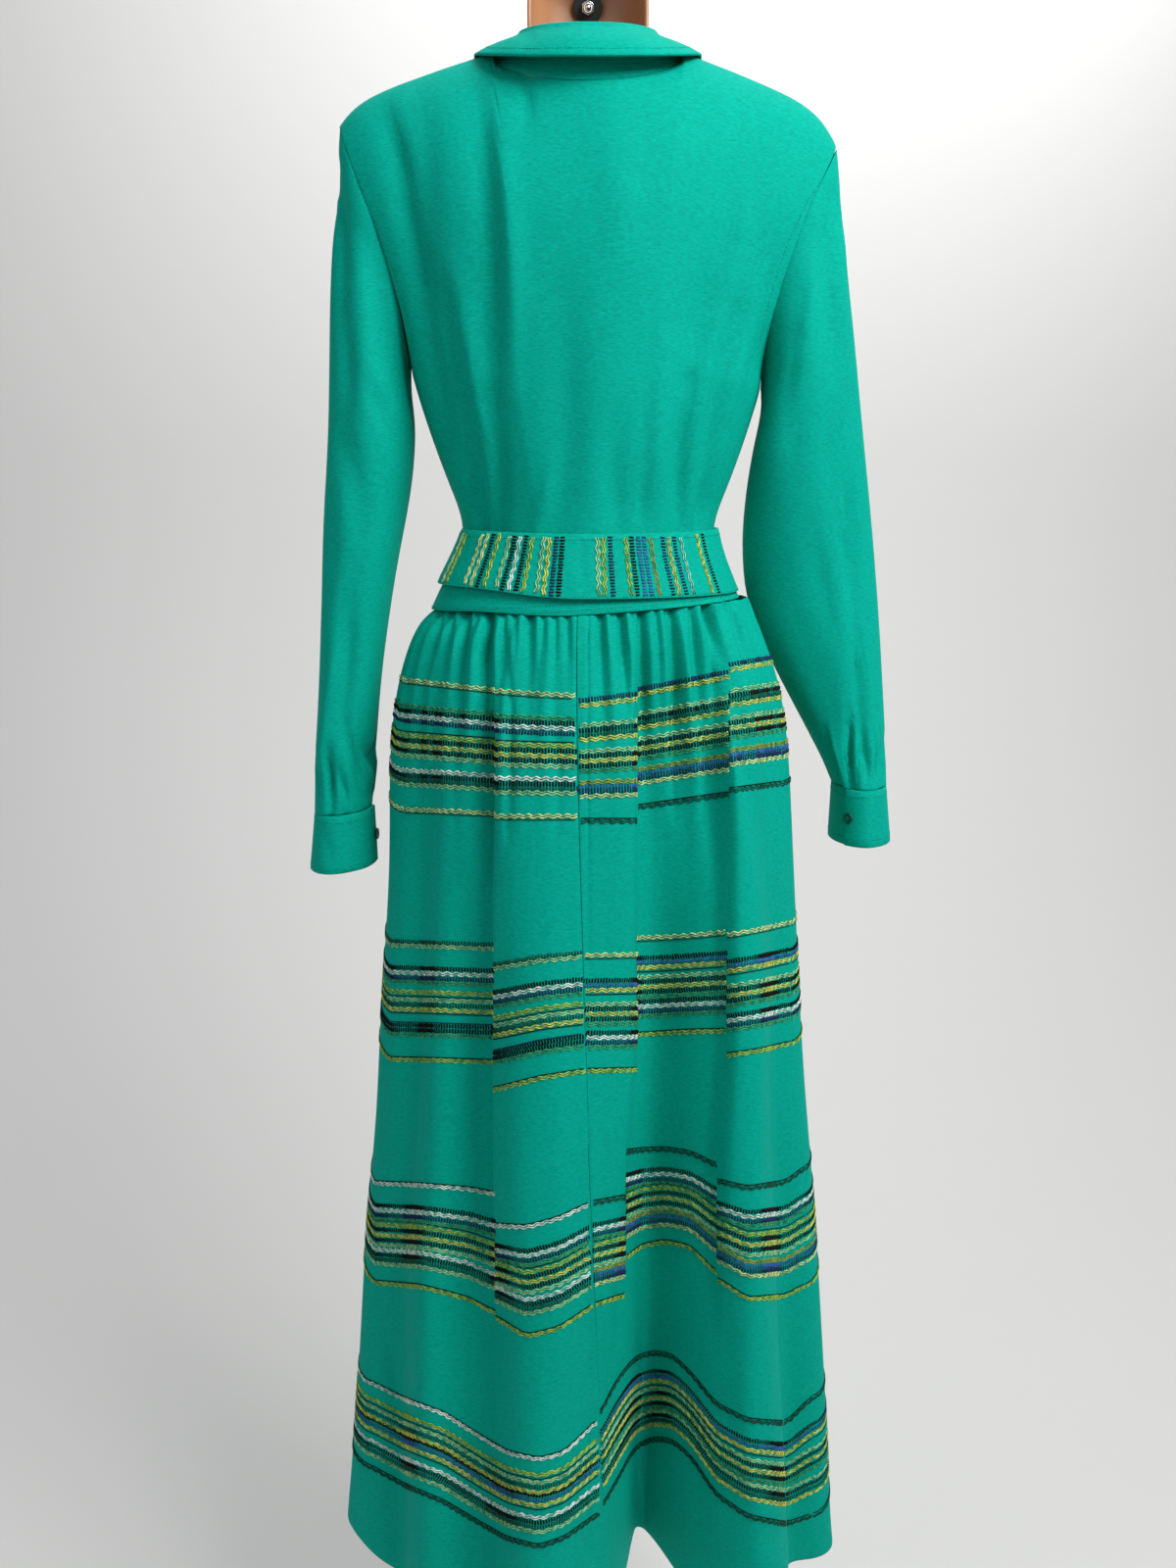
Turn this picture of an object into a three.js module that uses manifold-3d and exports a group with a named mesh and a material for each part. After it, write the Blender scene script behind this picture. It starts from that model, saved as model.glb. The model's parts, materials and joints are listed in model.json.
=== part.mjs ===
import * as THREE from "three";
import Module from "manifold-3d";

// Maxi dress worn by a hollow-backed hanging body form.
// The back faces -Y, the wearer's right is +X and the hem starts at z = 0.
// The whole group is then moved so that the hook bears on its rod at the origin.

// Cloth walls, millimetres
const CLOTH = 1.6;
const SKIRT_CLOTH = 1.8;
const CUFF_CLOTH = 2.2;
const COLLAR_CLOTH = 2;
const BELT_CLOTH = 2.6;
const SEAM = 0.34;
const LAYER = 0.4;

// Heights above the hem
const WAIST_SEAM = 1045;
const SKIRT_SEAM = 1000;
const SEAM_TILT = 9;

// Bodice rows: a share of the way up, with the underarm at UNDERARM
const UNDERARM = 0.43;
const LOW_ROWS = 5;
const ARMHOLE_ROWS = 9;
const SHOULDER_CAP = 0.3;
const NECK_SHARE = 0.385;
const NECK_COLUMNS = 5;
const SHOULDER_COLUMNS = 6;
const NECK_POINT_Z = 1460;
const BACK_NECK = { deep: 78, drop: 46 };
const FRONT_NECK = { deep: 66, drop: 74 };

// Half-widths of the bodice, a row for each height
const SIDE_LEFT = [
  { z: 1045, out: 115 },
  { z: 1066, out: 109 },
  { z: 1082, out: 114.5 },
  { z: 1113, out: 128 },
  { z: 1140, out: 138 },
  { z: 1170, out: 148 },
  { z: 1201, out: 157 },
  { z: 1234, out: 158 },
  { z: 1262, out: 162 },
  { z: 1320, out: 178 },
  { z: 1365, out: 197 },
  { z: 1404, out: 211 },
];
const SIDE_RIGHT = [
  { z: 1045, out: 117 },
  { z: 1066, out: 112 },
  { z: 1082, out: 117 },
  { z: 1112, out: 129 },
  { z: 1140, out: 138 },
  { z: 1162, out: 145 },
  { z: 1189, out: 153 },
  { z: 1218, out: 154 },
  { z: 1262, out: 161 },
  { z: 1296, out: 171 },
  { z: 1340, out: 188 },
  { z: 1388, out: 213 },
];
const SIDES = {
  left: { rows: SIDE_LEFT, under: 1201, tip: 1404 },
  right: { rows: SIDE_RIGHT, under: 1189, tip: 1388 },
};

// Height of the shoulder line by its share of the way from neck point to tip
const SHOULDER = [
  { at: 0, left: 1460, right: 1460 },
  { at: 0.12, left: 1456, right: 1455 },
  { at: 0.5, left: 1441.5, right: 1437 },
  { at: 0.78, left: 1428, right: 1421 },
  { at: 0.92, left: 1417, right: 1406 },
  { at: 1, left: 1404, right: 1388 },
];

// Depth of the bodice behind and in front of the shoulder line, and of half an armhole
const DEPTH = [
  { z: 1045, back: 92, front: 102, arm: 0 },
  { z: 1074, back: 88, front: 102, arm: 0 },
  { z: 1110, back: 92, front: 110, arm: 0 },
  { z: 1150, back: 95, front: 120, arm: 0 },
  { z: 1200, back: 97, front: 127, arm: 0 },
  { z: 1240, back: 98, front: 127, arm: 28 },
  { z: 1300, back: 97, front: 116, arm: 42 },
  { z: 1350, back: 95, front: 103, arm: 44 },
  { z: 1410, back: 92, front: 88, arm: 44 },
  { z: 1465, back: 88, front: 80, arm: 44 },
];

// Soft folds of the bodice: place across at the top and at the waist, as shares of the width
const BODICE_FOLDS = [
  { side: "back", top: -0.45, waist: -0.68, wide: 0.1, deep: -5, from: 0, to: 0.97 },
  { side: "back", top: 0.66, waist: 0.6, wide: 0.1, deep: -6, from: 0, to: 0.95 },
  { side: "back", top: -0.8, waist: -0.9, wide: 0.08, deep: -5, from: 0.2, to: 0.97 },
  { side: "back", top: 0.1, waist: 0.05, wide: 0.2, deep: 3, from: 0, to: 0.9 },
  { side: "front", top: -0.62, waist: -0.5, wide: 0.1, deep: -5, from: 0, to: 0.8 },
  { side: "front", top: 0.55, waist: 0.62, wide: 0.12, deep: -4, from: 0, to: 0.75 },
  { side: "front", top: -0.42, waist: -0.4, wide: 0.22, deep: 7, from: 0.25, to: 0.7 },
  { side: "front", top: 0.42, waist: 0.4, wide: 0.22, deep: 7, from: 0.25, to: 0.7 },
];

// Sleeves: where the outer and inner edges run, the half-depth and the middle's place in y
const SLEEVE_LEFT = [
  { at: 0, outX: 211, outZ: 1404, inX: 157, inZ: 1201, deep: 44, mid: 0 },
  { at: 0.08, outX: 215, outZ: 1373, inX: 156.5, inZ: 1186, deep: 48, mid: 0 },
  { at: 0.18, outX: 220, outZ: 1330, inX: 154.5, inZ: 1164, deep: 52, mid: 0 },
  { at: 0.3, outX: 225, outZ: 1270, inX: 157, inZ: 1130, deep: 53, mid: -1 },
  { at: 0.42, outX: 229, outZ: 1200, inX: 164, inZ: 1085, deep: 51, mid: -2 },
  { at: 0.55, outX: 236, outZ: 1115, inX: 176, inZ: 1030, deep: 48, mid: -3 },
  { at: 0.7, outX: 245, outZ: 1005, inX: 190, inZ: 960, deep: 46, mid: -4 },
  { at: 0.84, outX: 253, outZ: 900, inX: 199, inZ: 885, deep: 43, mid: -4 },
  { at: 0.93, outX: 258, outZ: 845, inX: 204, inZ: 842, deep: 41, mid: -4 },
  { at: 1, outX: 260.5, outZ: 808, inX: 207, inZ: 812, deep: 38, mid: -4 },
];
const SLEEVE_RIGHT = [
  { at: 0, outX: 213, outZ: 1388, inX: 153, inZ: 1189, deep: 44, mid: 0 },
  { at: 0.08, outX: 217, outZ: 1360, inX: 152.5, inZ: 1176, deep: 48, mid: 0 },
  { at: 0.18, outX: 222, outZ: 1322, inX: 150.5, inZ: 1158, deep: 52, mid: 2 },
  { at: 0.3, outX: 234, outZ: 1255, inX: 146, inZ: 1120, deep: 53, mid: 8 },
  { at: 0.42, outX: 248, outZ: 1185, inX: 143, inZ: 1070, deep: 51, mid: 20 },
  { at: 0.55, outX: 265, outZ: 1090, inX: 146, inZ: 1015, deep: 48, mid: 34 },
  { at: 0.7, outX: 280, outZ: 980, inX: 176, inZ: 945, deep: 46, mid: 42 },
  { at: 0.84, outX: 288, outZ: 895, inX: 212, inZ: 880, deep: 43, mid: 40 },
  { at: 0.93, outX: 290, outZ: 858, inX: 229, inZ: 850, deep: 41, mid: 36 },
  { at: 1, outX: 292, outZ: 826, inX: 240, inZ: 826, deep: 38, mid: 32 },
];

// Folds and cuff pleats of the sleeves: the angle is 0 outside, 90 at the back, 180 at the body
const SLEEVE_FOLDS = [
  { arm: "left", at: 58, wide: 22, deep: -6, from: 0.05, to: 0.6 },
  { arm: "left", at: 95, wide: 24, deep: -5, from: 0.5, to: 0.98 },
  { arm: "left", at: 130, wide: 20, deep: 5, from: 0.2, to: 0.9 },
  { arm: "left", at: 250, wide: 24, deep: -6, from: 0.1, to: 0.8 },
  { arm: "left", at: 80, wide: 9, deep: -4, from: 0.88, to: 1.2 },
  { arm: "left", at: 110, wide: 9, deep: -4, from: 0.9, to: 1.2 },
  { arm: "left", at: 290, wide: 10, deep: -4, from: 0.88, to: 1.2 },
  { arm: "right", at: 55, wide: 22, deep: -6, from: 0.05, to: 0.7 },
  { arm: "right", at: 110, wide: 20, deep: -7, from: 0.45, to: 0.97 },
  { arm: "right", at: 240, wide: 24, deep: -6, from: 0.1, to: 0.8 },
  { arm: "right", at: 120, wide: 9, deep: -5, from: 0.86, to: 1.2 },
  { arm: "right", at: 50, wide: 9, deep: -4, from: 0.9, to: 1.2 },
  { arm: "right", at: 285, wide: 10, deep: -4, from: 0.88, to: 1.2 },
];

// Cuffs: the lap is where the button sits
const CUFF_HIGH = 55;
const CUFF_LAP = 26;
const CUFF_SPLAY = 4;
const CUFF_LAP_AT = { left: 168, right: 118 };

// Collar: rolls over the stand and falls to its edge
const STAND_TOP = { side: 55.5, z: 1470, back: 67, backDrop: 17, front: 57, frontDrop: 52 };
const COLLAR_EDGE = { side: 97, z: 1460, back: 93, backDrop: 34, front: 87, frontDrop: 84 };
const COLLAR_POINT = 12;
const COLLAR_ROLL = [
  { out: -0.8, up: 1.5 },
  { out: -0.3, up: 4 },
  { out: 1.6, up: 5.6 },
  { out: 3.8, up: 4.2 },
  { out: 5, up: 0.5 },
];
const COLLAR_FALL_ROWS = 3;

// Waistband and belt: half-width, back and front depth by height
const WAISTBAND = [
  { z: 985, left: 147, right: 153, back: 114, front: 117 },
  { z: 1000, left: 141.5, right: 148, back: 111, front: 113 },
  { z: 1015, left: 133.5, right: 134, back: 105.4, front: 109 },
  { z: 1030, left: 124.3, right: 125.3, back: 98.8, front: 105.4 },
  { z: 1045, left: 115.8, right: 117.8, back: 93.8, front: 103.4 },
];
const BELT = [
  { z: 1012, left: 140, right: 140, back: 113, front: 118 },
  { z: 1030, left: 132, right: 132.5, back: 107, front: 113.5 },
  { z: 1050, left: 122.5, right: 124, back: 100.5, front: 110.5 },
  { z: 1071, left: 115.5, right: 119, back: 95.5, front: 109 },
];
const BELT_DIP = 5;
const BELT_LAP = 16;
const BELT_ROWS = 3;

// Skirt: half-widths and depths by height
const SKIRT = [
  { z: 0, left: 254, right: 258, back: 152, front: 165 },
  { z: 47, left: 251, right: 255, back: 151, front: 163 },
  { z: 122, left: 243, right: 248, back: 149, front: 160 },
  { z: 195, left: 237, right: 243, back: 147, front: 158 },
  { z: 302, left: 231, right: 234, back: 145, front: 155 },
  { z: 405, left: 221, right: 225, back: 143, front: 152 },
  { z: 505, left: 210, right: 214, back: 141, front: 149 },
  { z: 601, left: 201, right: 207, back: 139, front: 146 },
  { z: 693, left: 191, right: 199, back: 137, front: 143 },
  { z: 783, left: 185, right: 193, back: 135, front: 140 },
  { z: 869, left: 184, right: 186, back: 132, front: 136 },
  { z: 925, left: 174, right: 179, back: 127, front: 130 },
  { z: 953, left: 167, right: 170, back: 122, front: 126 },
  { z: 980, left: 154, right: 157, back: 117, front: 121 },
  { z: 1009, left: 141, right: 147, back: 111, front: 113 },
];
// Folds: angle from the centre back towards +X at the top and hem, and how far they stand out
const SKIRT_FOLDS = [
  { top: -78, hem: -76, wide: 9, low: 2, mid: 6, end: 12 },
  { top: -56, hem: -54, wide: 7, low: -3, mid: -14, end: -20 },
  { top: -38, hem: -37, wide: 10, low: 2, mid: 14, end: 20 },
  { top: -27, hem: -23, wide: 5, low: -4, mid: -12, end: -14 },
  { top: -8, hem: -5, wide: 13, low: 3, mid: 22, end: 36 },
  { top: 20, hem: 17, wide: 9, low: -3, mid: -42, end: -104 },
  { top: 42, hem: 42, wide: 9, low: 3, mid: 20, end: 36 },
  { top: 59, hem: 60, wide: 7, low: -3, mid: -14, end: -22 },
  { top: 78, hem: 77, wide: 9, low: 1, mid: 7, end: 14 },
  { top: 104, hem: 106, wide: 8, low: -2, mid: -16, end: -26 },
  { top: 126, hem: 127, wide: 11, low: 2, mid: 16, end: 28 },
  { top: 148, hem: 149, wide: 8, low: -3, mid: -20, end: -34 },
  { top: 180, hem: 179, wide: 15, low: 1, mid: 12, end: 20 },
  { top: 212, hem: 209, wide: 8, low: -3, mid: -22, end: -40 },
  { top: 234, hem: 233, wide: 11, low: 2, mid: 18, end: 30 },
  { top: 257, hem: 255, wide: 8, low: -2, mid: -13, end: -20 },
];
// Gathers: valleys at these angles, how deep they are and how far down they run
const GATHERS = {
  back_left: [
    { at: -85.5, deep: 2.4, long: 150 },
    { at: -77, deep: 3, long: 190 },
    { at: -68, deep: 2.6, long: 130 },
    { at: -58.4, deep: 3.4, long: 240 },
    { at: -50, deep: 2.6, long: 150 },
    { at: -41.5, deep: 3, long: 180 },
    { at: -33.4, deep: 3.8, long: 300 },
    { at: -26.5, deep: 3, long: 260 },
    { at: -20.6, deep: 2.2, long: 140 },
    { at: -14.6, deep: 2.6, long: 200 },
    { at: -8.4, deep: 2.4, long: 150 },
  ],
  back_right: [
    { at: 2.5, deep: 2.4, long: 170 },
    { at: 9.5, deep: 2.6, long: 140 },
    { at: 15.5, deep: 2.4, long: 190 },
    { at: 21.3, deep: 2.6, long: 160 },
    { at: 27.2, deep: 2.4, long: 130 },
    { at: 34.1, deep: 3.8, long: 300 },
    { at: 45.4, deep: 3.6, long: 260 },
    { at: 55, deep: 2.8, long: 170 },
    { at: 65, deep: 3, long: 200 },
    { at: 75, deep: 2.6, long: 150 },
    { at: 84.5, deep: 2.4, long: 140 },
  ],
  front_right: [
    { at: 95, deep: 2.6, long: 160 },
    { at: 104, deep: 3, long: 210 },
    { at: 113, deep: 2.6, long: 150 },
    { at: 121, deep: 3.2, long: 240 },
    { at: 130, deep: 2.6, long: 160 },
    { at: 138, deep: 3, long: 190 },
    { at: 147, deep: 3.4, long: 260 },
    { at: 155, deep: 2.6, long: 150 },
    { at: 163, deep: 2.4, long: 140 },
  ],
  front_left: [
    { at: 197, deep: 2.4, long: 150 },
    { at: 205, deep: 2.8, long: 180 },
    { at: 213, deep: 3.4, long: 250 },
    { at: 222, deep: 2.6, long: 150 },
    { at: 230, deep: 3, long: 210 },
    { at: 239, deep: 2.6, long: 150 },
    { at: 248, deep: 3.2, long: 230 },
    { at: 257, deep: 2.6, long: 160 },
    { at: 265.5, deep: 2.4, long: 140 },
  ],
};
const GATHERED_ROWS = [0, 14, 42, 90, 150];
const SMOOTH_ROWS = [235, 335, 440, 550, 660, 770, 885, 1000];
const BACK_SEAM = { top: -3.6, hem: 4.6 };
const PLACKET_HALF = 4.5;
const FRONT_PLACKET_HALF = 14;

// Buttons
const BUTTON = { radius: 5.6, thick: 2.4, sides: 14 };
const FRONT_BUTTONS = [1114, 1170, 1226, 1282, 1338];
const SKIRT_BUTTONS = [38, 92];

// Hanging body form, a row for each section: its rim, and its front at the middle
const FORM_WALL = 3;
const FORM_CLEAR = 4;
const FORM_REST = 3.4;
const FORM_SHOULDER_ROWS = [7, 10];
const FORM_RIM_Y = -6;
const FORM = [
  { rimX: 12, rimZ: 1543, frontY: 8, frontZ: 1542 },
  { rimX: 36, rimZ: 1542, frontY: 24, frontZ: 1539 },
  { rimX: 47, rimZ: 1536, frontY: 36, frontZ: 1528 },
  { rimX: 50, rimZ: 1520, frontY: 42, frontZ: 1506 },
  { rimX: 50.5, rimZ: 1490, frontY: 44, frontZ: 1474 },
  { rimX: 50.5, rimZ: 1467, frontY: 43, frontZ: 1436 },
  { rimX: 54, rimZ: 1459, frontY: 41, frontZ: 1396 },
  { rimX: 84, rimZ: 1454, frontY: 54, frontZ: 1376 },
  { rimX: 118, rimZ: 1446, frontY: 68, frontZ: 1354 },
  { rimX: 150, rimZ: 1434.5, frontY: 80, frontZ: 1330 },
  { rimX: 176, rimZ: 1422, frontY: 92, frontZ: 1304 },
  { rimX: 186, rimZ: 1398, frontY: 102, frontZ: 1278 },
  { rimX: 180, rimZ: 1358, frontY: 110, frontZ: 1252 },
  { rimX: 156, rimZ: 1298, frontY: 114, frontZ: 1224 },
  { rimX: 142, rimZ: 1240, frontY: 112, frontZ: 1192 },
  { rimX: 136, rimZ: 1180, frontY: 107, frontZ: 1154 },
  { rimX: 116, rimZ: 1110, frontY: 95, frontZ: 1102 },
  { rimX: 102, rimZ: 1062, frontY: 90, frontZ: 1060 },
];
const FORM_COLUMNS = 18;

// Hook and its fixing in the neck
const HOOK_WIRE = 6;
const HOOK_BORE = HOOK_WIRE / 2 + 0.8;
const HOOK_LOOP = 21;
const HOOK_TOP = 1632;
const FIXING = { y: 34.5, z: 1508, tilt: 22 };
const WASHER = { radius: 12.6, thick: 2.6 };
const NUT = { radius: 5.8, thick: 4.2, stub: 11 };

const radians = (degrees) => (degrees * Math.PI) / 180;
const mix = (a, b, t) => a + (b - a) * t;
const clamp = (t, low = 0, high = 1) => Math.min(high, Math.max(low, t));
const smooth = (t) => clamp(t) ** 2 * (3 - 2 * clamp(t));
const bell = (t) => Math.exp(-t * t);
const point = (x, y, z) => new THREE.Vector3(x, y, z);

// A smooth curve with no overshoot through a table's column
function along(rows, by, column, at) {
  const last = rows.length - 1;
  if (at <= rows[0][by]) return rows[0][column];
  if (at >= rows[last][by]) return rows[last][column];
  let i = 0;
  while (at > rows[i + 1][by]) i++;
  const rise = (k) => (rows[k + 1][column] - rows[k][column]) / (rows[k + 1][by] - rows[k][by]);
  const slope = (k) => {
    if (k === 0) return rise(0);
    if (k === last) return rise(last - 1);
    const before = rise(k - 1);
    const after = rise(k);
    return before * after <= 0 ? 0 : (2 * before * after) / (before + after);
  };
  const gap = rows[i + 1][by] - rows[i][by];
  const t = (at - rows[i][by]) / gap;
  const h = t * t * (3 - 2 * t);
  return (
    mix(rows[i][column], rows[i + 1][column], h) +
    gap * (slope(i) * t * (1 - t) ** 2 - slope(i + 1) * t * t * (1 - t))
  );
}

// Materials
const dye = new THREE.MeshStandardMaterial({ color: 0x009a7c, roughness: 0.9, side: THREE.DoubleSide });
const plastic = new THREE.MeshStandardMaterial({ color: 0xb07850, roughness: 0.35 });
const rubber = new THREE.MeshStandardMaterial({ color: 0x2c2f2e, roughness: 0.8 });
const chrome = new THREE.MeshStandardMaterial({ color: 0xd8dadc, roughness: 0.12, metalness: 1 });
const horn = new THREE.MeshStandardMaterial({ color: 0x14695a, roughness: 0.4 });

const group = new THREE.Group();
group.name = "maxi_dress";

function add(name, points, faces, material) {
  let volume = 0;
  for (const [a, b, c] of faces) {
    volume += points[a].dot(points[b].clone().cross(points[c]));
  }
  const index = faces.flatMap(([a, b, c]) => (volume > 0 ? [a, b, c] : [a, c, b]));
  const geometry = new THREE.BufferGeometry().setFromPoints(points);
  geometry.setIndex(index);
  geometry.computeVertexNormals();
  const mesh = new THREE.Mesh(geometry, material);
  mesh.name = name;
  group.add(mesh);
  return mesh;
}

// Joins two neighbouring rows of a face; a row may have half as many columns as the one before
function strip(faces, above, below) {
  if (above.length === below.length) {
    for (let j = 0; j + 1 < above.length; j++) {
      faces.push([above[j], below[j], below[j + 1]], [above[j], below[j + 1], above[j + 1]]);
    }
    return;
  }
  for (let j = 0; j + 1 < below.length; j++) {
    faces.push([above[2 * j], below[j], above[2 * j + 1]]);
    faces.push([above[2 * j + 1], below[j], below[j + 1]]);
    faces.push([above[2 * j + 1], below[j + 1], above[2 * j + 2]]);
  }
}

// A closed wall between an outer and an inner face, given as rows of points
function wall(name, outer, inner, material, tube = false) {
  const points = [];
  const number = (rows) =>
    rows.map((row) => {
      const ids = row.map((p) => points.push(p) - 1);
      return tube ? [...ids, ids[0]] : ids;
    });
  const out = number(outer);
  const inn = number(inner);
  const faces = [];
  for (let i = 0; i + 1 < out.length; i++) {
    strip(faces, out[i], out[i + 1]);
    const back = [];
    strip(back, inn[i], inn[i + 1]);
    faces.push(...back.map(([a, b, c]) => [a, c, b]));
  }
  strip(faces, inn[0], out[0]);
  strip(faces, out.at(-1), inn.at(-1));
  if (!tube) {
    strip(faces, out.map((row) => row[0]), inn.map((row) => row[0]));
    strip(faces, inn.map((row) => row.at(-1)), out.map((row) => row.at(-1)));
  }
  return add(name, points, faces, material);
}

// Moves the end points of each row, or of the first and last rows, in by half a seam
function easeSeams(outer, inner, sides) {
  const pull = (from, towards, faces) => {
    const shift = towards.clone().sub(from).setLength(SEAM / 2);
    faces.forEach((p) => p.add(shift));
  };
  if (sides.includes("first")) {
    outer.forEach((row, i) => pull(row[0], row[1], [row[0], inner[i][0]]));
  }
  if (sides.includes("last")) {
    outer.forEach((row, i) => pull(row.at(-1), row.at(-2), [row.at(-1), inner[i].at(-1)]));
  }
  if (sides.includes("top")) {
    const next = outer[1];
    const step = next.length === outer[0].length ? 1 : 2;
    outer[0].forEach((p, j) => pull(p, next[Math.floor(j / step)], [p, inner[0][j]]));
  }
  if (sides.includes("bottom")) {
    outer.at(-1).forEach((p, j) => pull(p, outer.at(-2)[j], [p, inner.at(-1)[j]]));
  }
}

// The outward direction of a surface of two numbers, from three nearby points
function normalOf(surface, a, b, stepA, stepB, away) {
  const here = surface(a, b);
  const n = surface(a + stepA, b).sub(here).cross(surface(a, b + stepB).sub(here)).normalize();
  return n.dot(here.sub(away)) < 0 ? n.negate() : n;
}

// Bodice

function halfWidth(share, z) {
  const left = along(SIDE_LEFT, "z", "out", z);
  const right = along(SIDE_RIGHT, "z", "out", z);
  return share < 0 ? left : right;
}

function sideHeight(side, v) {
  const { under, tip } = SIDES[side];
  if (v < UNDERARM) return mix(WAIST_SEAM, under, v / UNDERARM);
  return mix(under, tip, (v - UNDERARM) / (1 - UNDERARM));
}

function neckAngle(share) {
  return Math.asin(clamp(share / NECK_SHARE, -1, 1));
}

function topHeight(face, share) {
  if (Math.abs(share) < NECK_SHARE) {
    const neck = face === "back" ? BACK_NECK : FRONT_NECK;
    return NECK_POINT_Z - neck.drop * Math.cos(neckAngle(share));
  }
  const at = (Math.abs(share) - NECK_SHARE) / (1 - NECK_SHARE);
  return along(SHOULDER, "at", share < 0 ? "left" : "right", at);
}

function bodiceFold(face, share, v) {
  let out = 0;
  for (const fold of BODICE_FOLDS) {
    if (fold.side !== face) continue;
    const centre = mix(fold.waist, fold.top, v);
    const run = smooth((v - fold.from) / 0.12 + 0.4) * smooth((fold.to - v) / 0.2);
    out += fold.deep * bell((share - centre) / fold.wide) * run;
  }
  return out * smooth((1 - Math.abs(share)) / 0.1);
}

// A point of the bodice: the angle runs from -90 at the left side to 90 at the right
function bodicePoint(face, angle, v) {
  const share = Math.sin(radians(angle));
  const side = share < 0 ? "left" : "right";
  const z0 = sideHeight(side, v);
  const rise = smooth(Math.abs(share));
  const middle = (sideHeight("left", v) + sideHeight("right", v)) / 2;
  const top = topHeight(face, share);
  const under = mix((SIDES.left.under + SIDES.right.under) / 2, SIDES[side].under, rise);
  const z =
    v < UNDERARM
      ? mix(WAIST_SEAM, under, v / UNDERARM)
      : mix(under, top, (v - UNDERARM) / (1 - UNDERARM));
  const x = share * halfWidth(share, z0);
  const deep = along(DEPTH, "z", face, mix(middle, z, 0.5));
  const arm = along(DEPTH, "z", "arm", z0);
  const round = Math.cos(radians(angle));
  const flat = 1 - Math.abs(share) ** 2.6;
  const shape = mix(round, flat, smooth((v - UNDERARM) / 0.2));
  const full = arm + (deep - arm) * shape + bodiceFold(face, share, v);
  const neck = face === "back" ? BACK_NECK : FRONT_NECK;
  const inNeck = Math.abs(share) < NECK_SHARE;
  const edge = inNeck ? neck.deep * Math.cos(neckAngle(share)) : 0;
  const soft = mix(1, 0.5, smooth(Math.abs(share) / NECK_SHARE));
  const cap = Math.sin((Math.PI / 2) * clamp((1 - v) / SHOULDER_CAP)) ** soft;
  const y = mix(edge, full, cap);
  return point(x, face === "back" ? -y : y, z);
}

const armV = (angle) => 1 - ((1 - UNDERARM) * (1 - Math.cos(radians(angle)))) / 2;
const bodiceRows = [];
for (let k = 0; k <= ARMHOLE_ROWS; k++) bodiceRows.push(armV((180 * k) / ARMHOLE_ROWS));
for (let k = 1; k <= LOW_ROWS; k++) bodiceRows.push(UNDERARM * (1 - k / LOW_ROWS));

// Where a sleeve meets the bodice: 0 at the shoulder tip, 90 behind, 180 under the arm
function armholePoint(arm, angle) {
  const face = angle <= 180 ? "back" : "front";
  const turn = angle <= 180 ? angle : 360 - angle;
  return bodicePoint(face, arm === "left" ? -90 : 90, armV(turn));
}

// Both pieces at an armhole share a mitred edge: the way in, and the way from bodice to sleeve
function armholeMitre(arm, angle) {
  const here = armholePoint(arm, angle);
  const sign = arm === "left" ? -1 : 1;
  const middle = (SIDES[arm].under + SIDES[arm].tip) / 2;
  const inward = point(sign * 125, 0, middle).sub(here).normalize();
  const ahead = armholePoint(arm, (angle + 1) % 360);
  const across = ahead.sub(armholePoint(arm, (angle + 359) % 360)).cross(inward).normalize();
  if (across.x * sign < 0) across.negate();
  return { here, inward, across };
}

function bodicePanel(name, face, angles, seams) {
  const surface = (a, v) => bodicePoint(face, a, v);
  const outer = bodiceRows.map((v) => angles.map((a) => surface(a, v)));
  const inner = bodiceRows.map((v, i) =>
    angles.map((a, j) => {
      const stepA = a > 0 ? -0.6 : 0.6;
      const n = normalOf(surface, a, v, stepA, v > 0.5 ? -1e-5 : 1e-5, point(0, 0, outer[i][j].z - 60));
      return outer[i][j].clone().addScaledVector(n, -CLOTH);
    }),
  );
  easeSeams(outer, inner, ["top", "bottom"]);
  bodiceRows.forEach((v, i) => {
    angles.forEach((a, j) => {
      if (Math.abs(a) < 89.9) return;
      const towards = face === "back" ? -1 : 1;
      if (v <= UNDERARM + 1e-9) {
        outer[i][j].y += (towards * SEAM) / 2;
        inner[i][j].y += (towards * SEAM) / 2;
      }
      if (v >= UNDERARM - 1e-9) {
        const arm = a < 0 ? "left" : "right";
        const turn = (180 * i) / ARMHOLE_ROWS;
        const mitre = armholeMitre(arm, face === "back" ? turn : (360 - turn) % 360);
        const shift = mitre.across.clone().multiplyScalar(-SEAM / 2);
        const edge = v <= UNDERARM + 1e-9 || v > 1 - 1e-9 ? (towards * SEAM) / 2 : 0;
        outer[i][j].copy(mitre.here).add(shift);
        inner[i][j].copy(mitre.here).addScaledVector(mitre.inward, CLOTH).add(shift);
        outer[i][j].y += edge;
        inner[i][j].y += edge;
      }
    });
  });
  if (seams) easeSeams(outer, inner, seams);
  return wall(name, outer, inner, dye);
}

const neckEdge = (Math.asin(NECK_SHARE) * 180) / Math.PI;
const neckTurns = [];
for (let k = 0; k <= NECK_COLUMNS; k++) neckTurns.push((90 * k) / NECK_COLUMNS);
const halfAngles = neckTurns.map((turn) => {
  return (Math.asin(NECK_SHARE * Math.sin(radians(turn))) * 180) / Math.PI;
});
for (let k = 1; k <= SHOULDER_COLUMNS; k++) {
  halfAngles.push(mix(neckEdge, 90, k / SHOULDER_COLUMNS));
}
const leftAngles = halfAngles.map((a) => -a).reverse();
bodicePanel("back_bodice", "back", [...leftAngles, ...halfAngles.slice(1)]);
bodicePanel("front_bodice_left", "front", leftAngles, ["last"]);
bodicePanel("front_bodice_right", "front", halfAngles, ["first"]);

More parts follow.
